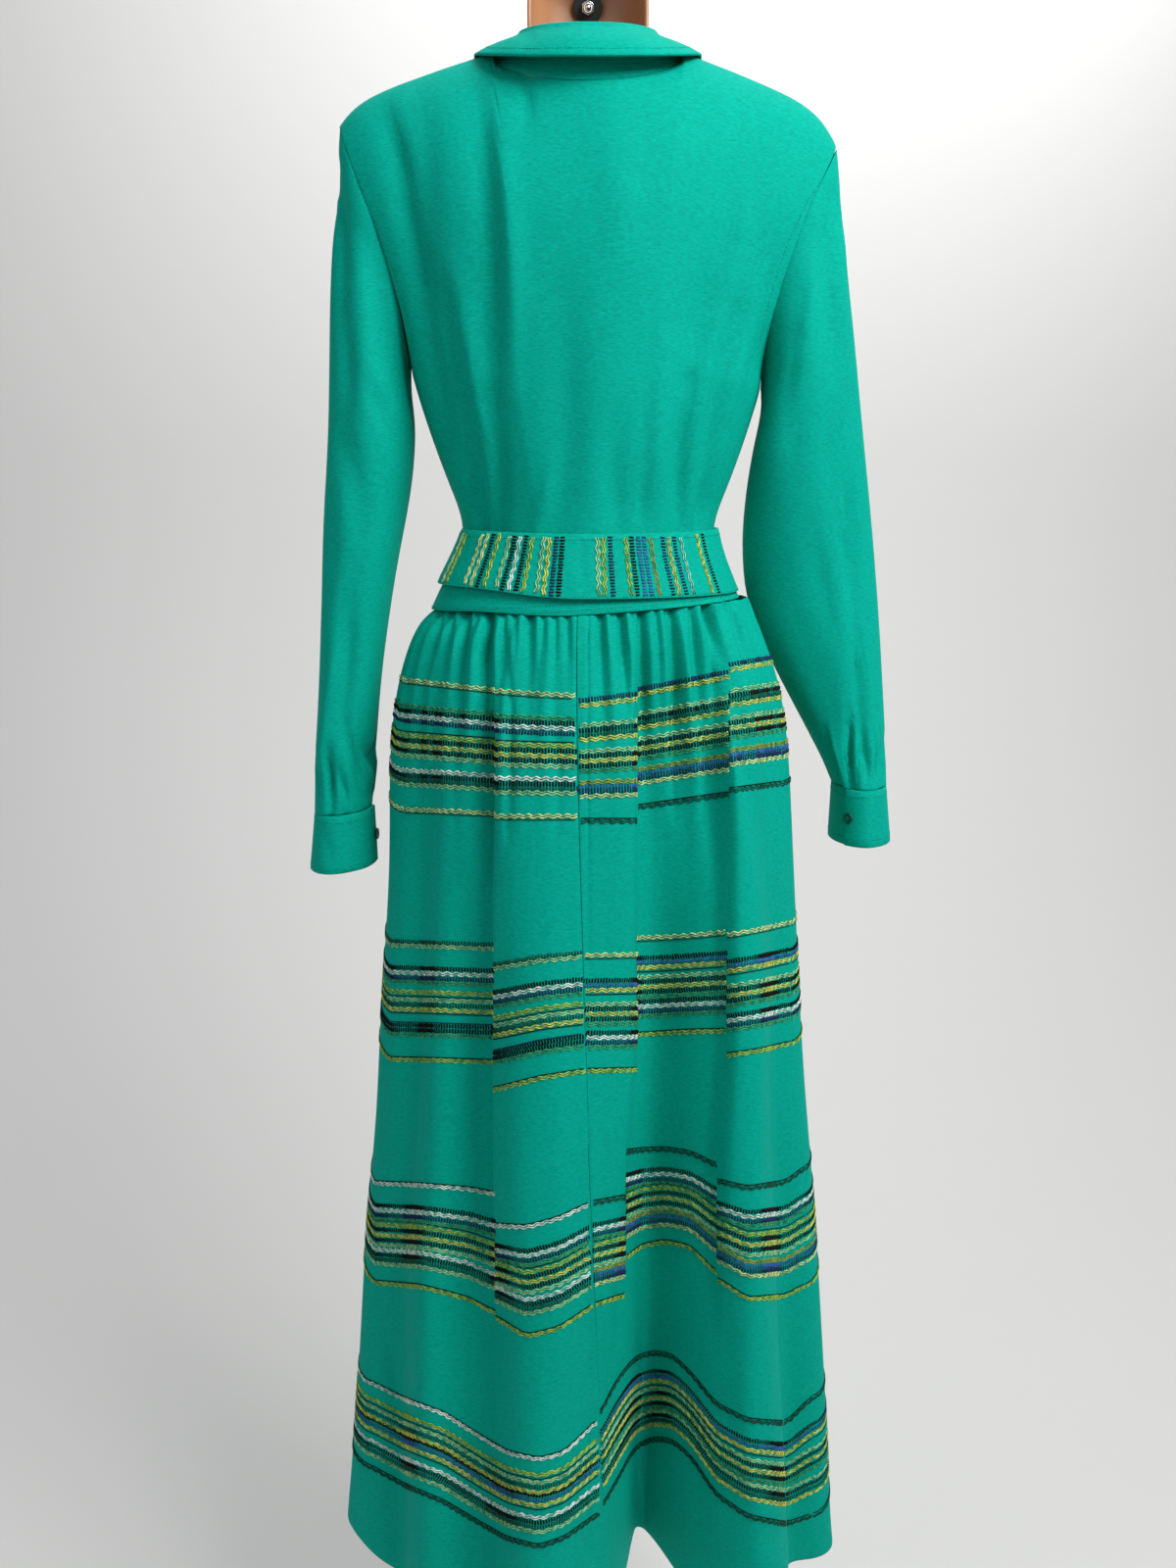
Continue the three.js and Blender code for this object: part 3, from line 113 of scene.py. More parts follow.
# Creases by node: x and height of both ends, width, depth, and the side that they are seen from
CREASES = {
    "back_bodice": [
        (-89, 1404, -82, 1176, 9, -3.5, "back"),
        (-82, 1176, -79, 1062, 8, -4, "back"),
        (-72, 1390, -64, 1180, 10, 2, "back"),
        (127, 1373, 112, 1300, 9, -3, "back"),
        (112, 1300, 84, 1190, 9, -4, "back"),
        (84, 1190, 80, 1062, 7, -5, "back"),
        (66, 1210, 60, 1066, 9, 2.5, "back"),
        (-50, 1417, -50, 1385, 5, -2, "back"),
        (-168, 1405, -150, 1320, 8, -4, "back"),
        (-150, 1320, -136, 1230, 8, -4.5, "back"),
        (-136, 1230, -122, 1140, 8, -4, "back"),
        (-112, 1140, -96, 1070, 7, -2.5, "back"),
        (-20, 1250, -26, 1066, 16, -2, "back"),
        (22, 1150, 26, 1064, 10, -2, "back"),
        (112, 1120, 98, 1066, 6, -2.5, "back"),
        (20, 1400, 30, 1290, 18, 1.5, "back"),
        (140, 1250, 120, 1170, 8, 2.5, "back"),
        (-30, 1120, -44, 1070, 7, 1.8, "back"),
        (50, 1120, 44, 1066, 6, -1.6, "back"),
        (-104, 1230, -100, 1130, 9, 2, "back"),
        (-124, 1260, -92, 1066, 9, -4, "back"),
        (-108, 1270, -84, 1090, 8, 2.4, "back"),
        (124, 1240, 96, 1066, 8, -4, "back"),
        (106, 1230, 84, 1090, 8, 2.2, "back"),
        (-140, 1420, -132, 1300, 12, -2, "back"),
        (148, 1410, 138, 1300, 12, -2, "back"),
    ],
    "front_bodice_left": [
        (-60, 1330, -70, 1090, 12, -3, "front"),
        (-110, 1220, -88, 1070, 10, -3, "front"),
        (-30, 1180, -34, 1066, 9, -2, "front"),
    ],
    "front_bodice_right": [
        (66, 1340, 74, 1100, 12, -3, "front"),
        (118, 1200, 92, 1070, 10, -3, "front"),
        (36, 1160, 40, 1066, 9, -2, "front"),
    ],
    "sleeve_left": [
        (-215, 1368, -209, 1254, 7, -4, "back"),
        (-209, 1254, -205, 1170, 7, -3.5, "back"),
        (-180, 1300, -174, 1180, 9, -3, "back"),
        (-186, 1190, -170, 1150, 6, -2.5, "back"),
        (-214, 1160, -196, 1070, 8, -3, "back"),
        (-226, 963, -239, 906, 6, 3, "back"),
        (-239, 906, -250, 854, 6, 3, "back"),
        (-214, 1000, -224, 900, 8, -3, "back"),
        (-206, 900, -214, 830, 6, -3, "back"),
        (-240, 880, -238, 820, 5, -3, "back"),
        (-224, 1080, -232, 1010, 7, -2, "back"),
        (-210, 1200, -216, 1000, 10, -3, "front"),
        (-224, 896, -208, 826, 4, -5, "back"),
        (-206, 872, -198, 826, 3.4, -4.5, "back"),
        (-240, 864, -238, 828, 3, -3, "back"),
        (-252, 860, -250, 828, 3, -2.6, "back"),
        (-229, 852, -224, 826, 3, -3.4, "back"),
        (-236, 870, -232, 828, 4, -4, "front"),
        (-216, 862, -214, 828, 4, -4, "front"),
    ],
    "sleeve_right": [
        (216, 1311, 220, 1230, 5, 3, "back"),
        (206, 1340, 208, 1210, 8, -3.5, "back"),
        (180, 1260, 172, 1150, 8, -3, "back"),
        (190, 1190, 176, 1120, 7, -2.5, "back"),
        (232, 1180, 214, 1080, 9, -3, "back"),
        (240, 1090, 250, 1010, 7, -2.5, "back"),
        (259, 980, 256, 882, 7, -5, "back"),
        (276, 930, 282, 860, 6, -3, "back"),
        (262, 900, 268, 840, 5, -3, "back"),
        (200, 1080, 226, 980, 10, -3, "back"),
        (230, 1180, 250, 980, 10, -3, "front"),
        (249, 905, 251, 830, 3, -6, "back"),
        (281, 870, 277, 838, 3, -4, "back"),
        (267, 860, 265, 832, 3, -3, "back"),
        (218, 880, 236, 826, 6, -3, "back"),
        (262, 876, 262, 832, 4, -4, "front"),
        (284, 870, 282, 836, 4, -4, "front"),
    ],
    "skirt_back_left": [
        (-88, 955, -84, 780, 6, -4, "back"),
        (-70, 975, -66, 820, 4, -4, "back"),
        (-135, 900, -150, 760, 8, -3, "back"),
        (-30, 930, -26, 820, 5, -2, "back"),
        (-118, 760, -128, 420, 14, -3, "back"),
        (-46, 640, -52, 300, 14, -2.5, "back"),
        (-8, 260, 30, 232, 7, -3, "back"),
        (-150, 420, -168, 160, 14, 3, "back"),
        (-205, 300, -196, 120, 10, -3, "back"),
        (-20, 210, 26, 150, 8, 2.5, "back"),
    ],
    "skirt_back_right": [
        (84, 970, 80, 830, 5, -4, "back"),
        (112, 930, 118, 780, 7, -4, "back"),
        (40, 950, 44, 840, 4, -2, "back"),
        (150, 880, 160, 720, 9, -3, "back"),
        (172, 600, 186, 250, 13, -3, "back"),
        (148, 500, 156, 120, 12, 3, "back"),
        (30, 520, 34, 240, 9, -2.5, "back"),
        (150, 130, 210, 90, 9, -3, "back"),
        (160, 90, 220, 55, 8, 2.5, "back"),
    ],
    "skirt_front_left": [
        (-60, 960, -58, 760, 8, -4, "front"),
        (-120, 900, -136, 600, 12, -4, "front"),
        (-90, 500, -96, 120, 14, -3, "front"),
    ],
    "skirt_front_right": [
        (64, 960, 66, 780, 8, -4, "front"),
        (126, 890, 140, 640, 12, -4, "front"),
        (96, 520, 104, 140, 14, -3, "front"),
    ],
    "cuff_left": [(-250, 800, -236, 760, 5, -1.2, "back")],
    "cuff_right": [(276, 820, 284, 775, 5, -1.2, "back")],
    "belt": [
        (-7, 1069, -7, 1013, 1.3, -1.6, "back"),
        (-70, 1068, -62, 1030, 9, -1, "back"),
        (60, 1060, 74, 1020, 10, -1, "back"),
        (-20, 1060, -16, 1016, 14, 0.8, "back"),
    ],
    "collar": [
        (-52, 1462, -46, 1438, 7, -2.5, "back"),
        (30, 1460, 36, 1432, 9, 1.2, "back"),
        (-14, 1456, -10, 1430, 10, 1, "back"),
    ],
}

CREASE_STRENGTH = {"back_bodice": 1.9, "sleeve_left": 1.5, "sleeve_right": 1.5}

# Gathers below the band: x at the top behind, how far it drifts, length, width, depth
GATHERS = [
    (-130, -6, 60, 3.2, -4),
    (-119, -6, 70, 3.4, -5),
    (-105, -5, 95, 4.2, -9),
    (-95, -5, 45, 2.6, -3.5),
    (-85, -2, 130, 4.6, -12),
    (-72, -3, 60, 3.2, -5.5),
    (-61, -2, 40, 2.6, -3.5),
    (-48, -2, 85, 3.8, -7.5),
    (-38, 0, 35, 2.4, -3),
    (-28, -1, 60, 3, -4.5),
    (-17, 0, 45, 2.6, -4),
    (11, 2, 80, 3.8, -8),
    (20, 2, 45, 2.6, -3.5),
    (28, 4, 95, 4.2, -9),
    (37, 3, 40, 2.4, -3.5),
    (46, 3, 120, 4.6, -12),
    (59, 4, 70, 3.2, -5.5),
    (67, 4, 40, 2.6, -3.5),
    (74, 5, 110, 4.4, -10),
    (91, 8, 85, 3.6, -6.5),
    (105, 12, 140, 4.8, -12),
    (118, 10, 70, 3.4, -5),
    (128, 9, 50, 3, -4),
]
# Sharp fold edges behind: x and height along the edge, then depth, width and which side stands out
FOLD_EDGES = [
    ([(-82, 940), (-79, 893), (-81, 772), (-84, 589), (-84, 430)], 10, 32, 1),
    ([(40, 960), (41, 893), (42, 772), (44, 626), (36, 491), (26, 369)], 11, 34, -1),
    ([(106, 980), (117, 942), (120, 859), (122, 719), (123, 608), (119, 491), (120, 380)], 10, 32, 1),
]
# The sleeves' placket slits, in the same columns
SLITS = {
    "sleeve_left": ([(-206, 872), (-197, 824)], 2.5, 12, -1),
    "sleeve_right": ([(229, 880), (248, 822)], 4.5, 15, 1),
}
# Broad lobes of the lower skirt behind: x, height where it is strongest, reach, width, depth
LOBES = [
    (-58, 60, 460, 36, 20),
    (12, 60, 380, 28, -12),
    (74, 60, 420, 36, -12),
    (150, 40, 420, 34, 14),
    (-118, 200, 420, 22, -9),
    (-40, 560, 220, 36, 9),
    (-112, 620, 240, 20, -8),
    (84, 640, 300, 26, -12),
    (150, 620, 260, 24, 5),
    (-172, 420, 300, 26, 7),
]
# Flat cut of each cloth piece: width, length and area in metres
CUTS = {
    "back_bodice": (0.43, 0.42, 0.15),
    "front_bodice_left": (0.24, 0.42, 0.082),
    "front_bodice_right": (0.24, 0.42, 0.082),
    "front_placket": (0.03, 0.36, None),
    "sleeve_left": (0.36, 0.58, 0.15),
    "sleeve_right": (0.36, 0.58, 0.15),
    "cuff_left": (0.24, 0.056, None),
    "cuff_right": (0.24, 0.056, None),
    "collar_stand": (0.44, 0.04, 0.0145),
    "collar": (0.50, 0.062, 0.028),
    "waistband": (0.78, 0.05, None),
    "belt": (0.80, 0.06, None),
    "skirt_back_left": (0.44, 1.0, 0.42),
    "skirt_back_right": (0.44, 1.0, 0.42),
    "skirt_front_left": (0.42, 1.0, 0.40),
    "skirt_front_right": (0.42, 1.0, 0.40),
    "skirt_placket": (0.034, 0.155, None),
}

# Yarn colours, linear
YARNS = {
    "pale_yellow": (0.58, 0.66, 0.28),
    "yellow": (0.6, 0.58, 0.09),
    "yellow_green": (0.36, 0.5, 0.06),
    "pale_green": (0.32, 0.58, 0.28),
    "olive": (0.3, 0.32, 0.04),
    "white": (0.72, 0.78, 0.7),
    "black": (0.003, 0.005, 0.005),
    "navy": (0.01, 0.02, 0.09),
    "blue": (0.03, 0.1, 0.32),
    "dark_green": (0.005, 0.08, 0.05),
    "green": (0.05, 0.32, 0.14),
    "teal": (0.28, 0.55, 0.46),
}

# Where each tier's stripes run behind, read in the frame: across, first stripe, last stripe.
# The shares say how far down from first to last each band lies, the heights where both run in front.
TIERS = [
    {
        "shares": {"left": (0, 0.25, 0.485, 0.74, 1), "right": (0, 0.25, 0.49, 0.73, 1)},
        "left": [
            [(414, 695, 827), (465, 701, 829), (504, 705, 831)],
            [(505, 706, 834), (545, 709, 834), (592, 711, 834)],
        ],
        "right": [
            [(592, 718, 838), (648, 711, 838)],
            [(652, 706, 824), (700, 697, 817), (744, 688, 811)],
            [(745, 681, 807), (797, 672, 800)],
        ],
        "height": (939, 835),
    },
    {
        "shares": {"left": (0, 0.26, 0.5, 0.74, 1), "right": (0, 0.27, 0.5, 0.72, 1)},
        "left": [
            [(401, 962, 1081), (450, 964, 1082), (503, 966, 1084)],
            [(505, 986, 1112), (552, 978, 1100), (597, 974, 1093)],
        ],
        "right": [
            [(597, 976, 1093), (649, 975, 1092)],
            [(651, 958, 1056), (698, 956, 1053), (741, 952, 1052)],
            [(743, 955, 1077), (777, 949, 1072), (806, 942, 1065)],
        ],
        "height": (716, 612),
    },
    {
        "shares": {"left": (0, 0.28, 0.5, 0.73, 1), "right": (0, 0.27, 0.5, 0.73, 1)},
        "left": [
            [(385, 1207, 1309), (430, 1209, 1313), (479, 1213, 1326), (505, 1218, 1340)],
            [(507, 1250, 1345), (537, 1252, 1364), (570, 1243, 1356), (606, 1226, 1332)],
        ],
        "right": [
            [(606, 1228, 1332), (637, 1222, 1322)],
            [(640, 1176, 1284), (653, 1174, 1272), (679, 1173, 1267), (705, 1177, 1273), (731, 1190, 1300)],
            [(733, 1206, 1306), (763, 1213, 1326), (802, 1207, 1323), (821, 1192, 1312)],
        ],
        "height": (496, 391),
    },
    {
        "shares": {"left": (0, 0.3, 0.5, 0.75, 1), "right": (0, 0.27, 0.5, 0.73, 1)},
        "left": [
            [
                (376, 1409, 1496), (414, 1428, 1517), (453, 1442, 1533), (486, 1463, 1553),
                (518, 1482, 1571), (550, 1489, 1579), (576, 1482, 1570), (611, 1448, 1545),
            ],
        ],
        "right": [
            [
                (611, 1446, 1543), (628, 1411, 1514), (647, 1387, 1478), (666, 1381, 1469),
                (686, 1384, 1471), (705, 1402, 1487), (731, 1434, 1526), (763, 1450, 1548),
                (802, 1453, 1556), (828, 1427, 1547),
            ],
        ],
        "height": (244, 144),
    },
]
# Each band's strands: height from its middle, kind and colour
BANDS = {
    "pale_line": [(1, "wave", "pale_yellow"), (-2.2, "thin", "dark_green")],
    "yellow_line": [(0, "wave", "yellow_green"), (2.6, "thin", "black")],
    "green_line": [(1.6, "dash", "dark_green"), (-2, "wave", "pale_green")],
    "navy_line": [(2.6, "dash", "navy"), (-2.4, "wave", "yellow")],
    "dark_line": [(0, "wave", "dark_green"), (2.8, "thin", "black")],
    "light_line": [(2, "thin", "black"), (-0.4, "wave", "white")],
    "white_band": [
        (7, "wave", "green"),
        (2.6, "dash", "black"),
        (-2, "wave", "white"),
        (-6.6, "dash", "navy"),
    ],
    "night_band": [
        (5.4, "dash", "black"),
        (1, "wave", "white"),
        (-3.6, "dash", "navy"),
        (-7.6, "wave", "green"),
    ],
    "teal_band": [
        (6, "dash", "black"),
        (1.6, "dash", "blue"),
        (-2.8, "wave", "yellow"),
        (-6.6, "thin", "black"),
    ],
    "wide_band": [
        (11.5, "thin", "black"),
        (8, "wave", "yellow_green"),
        (3.4, "dash", "black"),
        (-1.4, "wave", "yellow"),
        (-6, "dash", "black"),
        (-10.6, "wave", "pale_green"),
    ],
    "meadow_band": [
        (9, "wave", "yellow_green"),
        (5, "thin", "black"),
        (2, "wave", "pale_green"),
        (-2.6, "dash", "dark_green"),
        (-7, "wave", "yellow"),
        (-10.4, "thin", "black"),
    ],
    "fern_band": [
        (8.6, "wave", "pale_green"),
        (4.2, "dash", "black"),
        (-0.4, "wave", "yellow"),
        (-5, "dash", "black"),
        (-9.4, "wave", "green"),
    ],
    "bar_band": [
        (6, "wave", "white"),
        (1.4, "dash", "black"),
        (-2.8, "dash", "dark_green"),
        (-6.8, "wave", "pale_green"),
    ],
    "black_band": [
        (4, "dash", "black"),
        (-0.4, "dash", "black"),
        (-4.6, "wave", "green"),
        (6.8, "thin", "navy"),
    ],
    "blue_band": [
        (6.4, "wave", "olive"),
        (1.8, "dash", "blue"),
        (-2.4, "dash", "navy"),
        (-6.4, "wave", "pale_yellow"),
    ],
    "green_band": [
        (6.4, "wave", "pale_green"),
        (2, "dash", "black"),
        (-2.4, "dash", "dark_green"),
        (-6.6, "wave", "yellow"),
    ],
}
# Each tier's bands from the top, left and right of the back seam
STRIPES = [
    {
        "left": ("pale_line", "white_band", "wide_band", "bar_band", "pale_line"),
        "right": ("navy_line", "green_band", "fern_band", "blue_band", "dark_line"),
    },
    {
        "left": ("green_line", "night_band", "meadow_band", "black_band", "yellow_line"),
        "right": ("pale_line", "teal_band", "fern_band", "night_band", "yellow_line"),
    },
    {
        "left": ("light_line", "night_band", "wide_band", "bar_band", "yellow_line"),
        "right": ("dark_line", "night_band", "wide_band", "blue_band", "yellow_line"),
    },
    {
        "left": ("light_line", "meadow_band", "teal_band", "bar_band", "dark_line"),
        "right": ("dark_line", "teal_band", "fern_band", "green_band", "dark_line"),
    },
]
# A wavy yarn's two plies, a thin yarn and a row of bars
WAVE_LONG = 8.5
WAVE_HIGH = 0.85
YARN_THICK = 0.66
PLY_APART = 1.05
THIN_THICK = 0.5
DASH_PITCH = 2.6
DASH_HALF_LONG = (1.7, 2.5)
# A full turn, near enough for a wave's random start
FULL_TURN = 6.28
# How far apart two places of one run may lie
JUMP_BEHIND = 0.045
JUMP_ROUND = 0.03

# Belt strands: x at the belt's top edge behind, kind and colour
BELT_STRANDS = [
    (-107.5, "wave", "pale_yellow"),
    (-104, "wave", "yellow_green"),
    (-89, "wave", "pale_yellow"),
    (-84, "wave", "pale_yellow"),
    (-79, "dash", "black"),
    (-74, "wave", "yellow_green"),
    (-65, "wave", "pale_green"),
    (-60.5, "dash", "black"),
    (-56, "wave", "white"),
    (-50.5, "dash", "black"),
    (-45.5, "wave", "yellow_green"),
    (-36, "wave", "pale_green"),
    (-31, "wave", "yellow"),
    (-25.5, "dash", "navy"),
    (-20.5, "dash", "black"),
    (7.5, "wave", "pale_green"),
    (12, "wave", "yellow_green"),
    (17.5, "dash", "navy"),
    (30, "wave", "yellow_green"),
    (34.5, "dash", "black"),
    (40, "dash", "blue"),
    (44.5, "dash", "blue"),
    (50, "wave", "olive"),
    (60, "dash", "navy"),
    (64.5, "wave", "yellow"),
    (69.5, "dash", "navy"),
    (75, "wave", "teal"),
    (89.5, "wave", "yellow"),
    (94.5, "dash", "black"),
]


# Materials


def shader(name, colour, rough):
    mat = bpy.data.materials.new(name)
    mat.use_nodes = True
    bsdf = mat.node_tree.nodes["Principled BSDF"]
    bsdf.inputs["Base Color"].default_value = (*colour, 1)
    bsdf.inputs["Roughness"].default_value = rough
    return mat, mat.node_tree, bsdf


def mapped_noise(tree, scale, size, detail=3.0):
    coords = tree.nodes.new("ShaderNodeTexCoord")
    mapping = tree.nodes.new("ShaderNodeMapping")
    mapping.inputs["Scale"].default_value = scale
    noise = tree.nodes.new("ShaderNodeTexNoise")
    noise.inputs["Scale"].default_value = size
    noise.inputs["Detail"].default_value = detail
    tree.links.new(coords.outputs["Object"], mapping.inputs["Vector"])
    tree.links.new(mapping.outputs["Vector"], noise.inputs["Vector"])
    return noise


def ramp(tree, source, low, high, ends=(0.3, 0.7)):
    node = tree.nodes.new("ShaderNodeValToRGB")
    node.color_ramp.elements[0].position = ends[0]
    node.color_ramp.elements[1].position = ends[1]
    node.color_ramp.elements[0].color = (*low, 1)
    node.color_ramp.elements[1].color = (*high, 1)
    tree.links.new(source.outputs["Fac"], node.inputs["Fac"])
    return node


def woven(name, colour):
    mat, tree, bsdf = shader(name, colour, 0.82)
    bsdf.inputs["Sheen Weight"].default_value = 0.12
    bsdf.inputs["Sheen Roughness"].default_value = 0.5
    bsdf.inputs["Sheen Tint"].default_value = (0.0, 0.7, 0.55, 1)
    bsdf.inputs["Specular IOR Level"].default_value = 0.06
    slub = mapped_noise(tree, (0.25, 0.25, 1.0), 900, 2.0)
    low = tuple(c * 0.84 for c in colour)
    high = tuple(min(1, c * 1.12) for c in colour)
    tint = ramp(tree, slub, low, high)
    tree.links.new(tint.outputs["Color"], bsdf.inputs["Base Color"])
    warp = mapped_noise(tree, (1.0, 1.0, 0.3), 1100, 2.0)
    mixed = tree.nodes.new("ShaderNodeMath")
    mixed.operation = "ADD"
    tree.links.new(slub.outputs["Fac"], mixed.inputs[0])
    tree.links.new(warp.outputs["Fac"], mixed.inputs[1])
    bump = tree.nodes.new("ShaderNodeBump")
    bump.inputs["Strength"].default_value = 0.255
    bump.inputs["Distance"].default_value = 0.0006
    tree.links.new(mixed.outputs["Value"], bump.inputs["Height"])
    tree.links.new(bump.outputs["Normal"], bsdf.inputs["Normal"])
    return mat


def yarn(name, colour):
    mat, tree, bsdf = shader(name, colour, 0.8)
    bsdf.inputs["Specular IOR Level"].default_value = 0.12
    fuzz = mapped_noise(tree, (1, 1, 1), 260, 5.0)
    shade = min(1, max(colour) * 6)
    low = (colour[0] * 0.3, colour[1] * 0.5 + 0.03 * shade, colour[2] * 0.5 + 0.015 * shade)
    high = tuple(min(1, c * 1.3 + 0.004) for c in colour)
    tint = ramp(tree, fuzz, low, high, (0.36, 0.6))
    tree.links.new(tint.outputs["Color"], bsdf.inputs["Base Color"])
    return mat


CLOTH = woven("emerald_weave", (0.0, 0.36, 0.268))
THREAD = yarn("stitch_thread", (0.0, 0.26, 0.19))
YARN_MATS = {name: yarn("yarn_" + name, colour) for name, colour in YARNS.items()}
BUTTON, _, _ = shader("button_plastic", (0.002, 0.075, 0.055), 0.35)
RUBBER, _, _ = shader("black_rubber", (0.022, 0.028, 0.026), 0.7)
CHROME, _, chrome_bsdf = shader("bright_chrome", (0.82, 0.83, 0.84), 0.12)
chrome_bsdf.inputs["Metallic"].default_value = 1.0
PLASTIC, plastic_tree, plastic_bsdf = shader("tan_plastic", (0.46, 0.21, 0.095), 0.34)
cloud = mapped_noise(plastic_tree, (3, 3, 0.6), 6, 4.0)
tan = ramp(plastic_tree, cloud, (0.36, 0.15, 0.065), (0.52, 0.25, 0.12))
plastic_tree.links.new(tan.outputs["Color"], plastic_bsdf.inputs["Base Color"])
plastic_bsdf.inputs["Subsurface Weight"].default_value = 0.08
plastic_bsdf.inputs["Subsurface Radius"].default_value = (0.01, 0.005, 0.003)


# Geometry helpers


def place(x, y, z):
    return Vector((x * MM, y * MM, (z - HEM_TO_HOOK) * MM))


def new_object(name, vertices, faces, mats, picks=None):
    mesh = bpy.data.meshes.new(name)
    mesh.from_pydata([tuple(v) for v in vertices], [], faces)
    for mat in mats:
        mesh.materials.append(mat)
    if picks is not None:
        mesh.polygons.foreach_set("material_index", picks)
    mesh.shade_smooth()
    mesh.update()
    obj = bpy.data.objects.new(name, mesh)
    bpy.context.scene.collection.objects.link(obj)
    return obj


def row_at(rows, z):
    for low, high in zip(rows, rows[1:]):
        if z <= high[0]:
            t = max(0.0, (z - low[0]) / (high[0] - low[0]))
            return [a + (b - a) * t for a, b in zip(low, high)]
    return rows[-1]


def oval(rows, angle, z):
    """A point on the oval of this height and the way out of it."""
    _, left, right, back, front = row_at(rows, z)
    s = math.sin(math.radians(angle))
    c = math.cos(math.radians(angle))
    wide = left if s < 0 else right
    deep = back if c > 0 else front
    out = Vector((s / wide, -c / deep, 0)).normalized()
    return place(wide * s, -deep * c, z), out


def crease_shift(points, creases):
    """How far each point moves out, from the creases' segments in x and height."""
    shift = np.zeros(len(points))
    x = points[:, 0] / MM
    z = points[:, 2] / MM + HEM_TO_HOOK
    for x0, z0, x1, z1, wide, deep, side in creases:
        along_x = x1 - x0
        along_z = z1 - z0
        length = math.hypot(along_x, along_z)
        t = ((x - x0) * along_x + (z - z0) * along_z) / length**2
        inside = np.clip(t, 0, 1)
        bend = 0.06 * length * np.sin(np.pi * inside) * (1 if x0 > 0 else -1) * 0.5
        off = ((x - x0) * along_z - (z - z0) * along_x) / length - bend
        beyond = np.abs(t - inside) * length
        strength = 0.35 + 0.65 * np.sin(np.pi * np.clip(t, 0.05, 0.95))
        fade = np.exp(-((beyond / (1.5 * wide)) ** 2)) * strength
        face = points[:, 1] < 0.004 if side == "back" else points[:, 1] > -0.004
        shift += deep * np.exp(-((off / wide) ** 2)) * fade * face
    return shift


def gather_shift(points):
    """Gathers sink in below the band and run out down the skirt, behind and in front."""
    x = points[:, 0] / MM
    down = np.maximum(0, GATHER_TOP - (points[:, 2] / MM + HEM_TO_HOOK))
    shift = np.zeros(len(points))
    for top, drift, length, wide, deep in GATHERS:
        for turn, behind in ((1, points[:, 1] < 0.004), (-0.97, points[:, 1] > 0.004)):
            line = turn * top + turn * drift * down / 60
            spread = wide * (1 + down / (1.6 * length))
            fade = np.exp(-((down / length) ** 1.6))
            groove = np.exp(-(((x - line) / spread) ** 2))
            swell = np.exp(-(((np.abs(x - line) - 2.1 * spread) / spread) ** 2))
            shift += behind * fade * (deep * groove - 0.18 * deep * swell * np.minimum(1, down / 25))
    return shift


def edge_shift(x, z, edge, sharp, below, above):
    """One fold edge: the cloth stands out on one side of its line and sinks on the other."""
    line, deep, wide, side = edge
    heights = [point[1] for point in line][::-1]
    off = x - np.interp(z, heights, [point[0] for point in line][::-1])
    inside = np.clip((z - heights[0] + below) / (1.5 * below), 0, 1)
    inside = inside * np.clip((heights[-1] - z + 10) / above, 0, 1)
    return side * deep * np.tanh(off / sharp) * np.exp(-(np.abs(off / wide) ** 1.5)) * inside


def fold_shift(points):
    """The sharp fold edges and the broad lobes of the skirt behind."""
    x = points[:, 0] / MM
    z = points[:, 2] / MM + HEM_TO_HOOK
    behind = np.clip(-points[:, 1] / 0.04, 0, 1)
    shift = np.zeros(len(points))
    for edge in FOLD_EDGES:
        shift += behind * edge_shift(x, z, edge, 2.8, 60, 60)
    for centre, height, reach, wide, deep in LOBES:
        strength = np.exp(-(((z - height) / reach) ** 2))
        shift += behind * deep * strength * np.exp(-(((x - centre) / wide) ** 2))
    return shift


# How far the band's left end and two places of the hem are raised
BAND_RISE = 7
HEM_RISE_LEFT = 36
HEM_RISE_RIGHT = 24


def lift(name, points):
    """The band's left end and parts of the hem hang a little higher."""
    x = points[:, 0] / MM
    z = points[:, 2] / MM + HEM_TO_HOOK
    rise = np.zeros(len(points))
    if name in ("waistband", "belt", "skirt_back_left", "skirt_front_left"):
        share = np.clip((-x - 10) / 100, 0, 1)
        band = np.clip((1071 - z) / 50, 0, 1) if name == "belt" else np.clip((z - 880) / 100, 0, 1)
        rise += BAND_RISE * share * share * (3 - 2 * share) * band
    if name in ("skirt_back_left", "skirt_front_left"):
        rise += HEM_RISE_LEFT * np.exp(-(((x + 262) / 42) ** 2)) * np.clip((230 - z) / 200, 0, 1)
    if name == "skirt_back_right":
        low = np.clip((220 - z) / 200, 0, 1)
        rise += HEM_RISE_RIGHT * np.exp(-(((x - 66) / 40) ** 2)) * low * (points[:, 1] < 0)
    return rise


# A skirt panel's seam: the oval that its turn is measured on, the height of a row of points,
# how many degrees of the row's end are drawn out, and how far, and how deep the groove is
SEAM_OVAL = (0.18, 0.135)
SEAM_ROW = 0.012
SEAM_TURN = 1.2
SEAM_SLIDE = 0.45
SEAM_GROOVE = -1.3


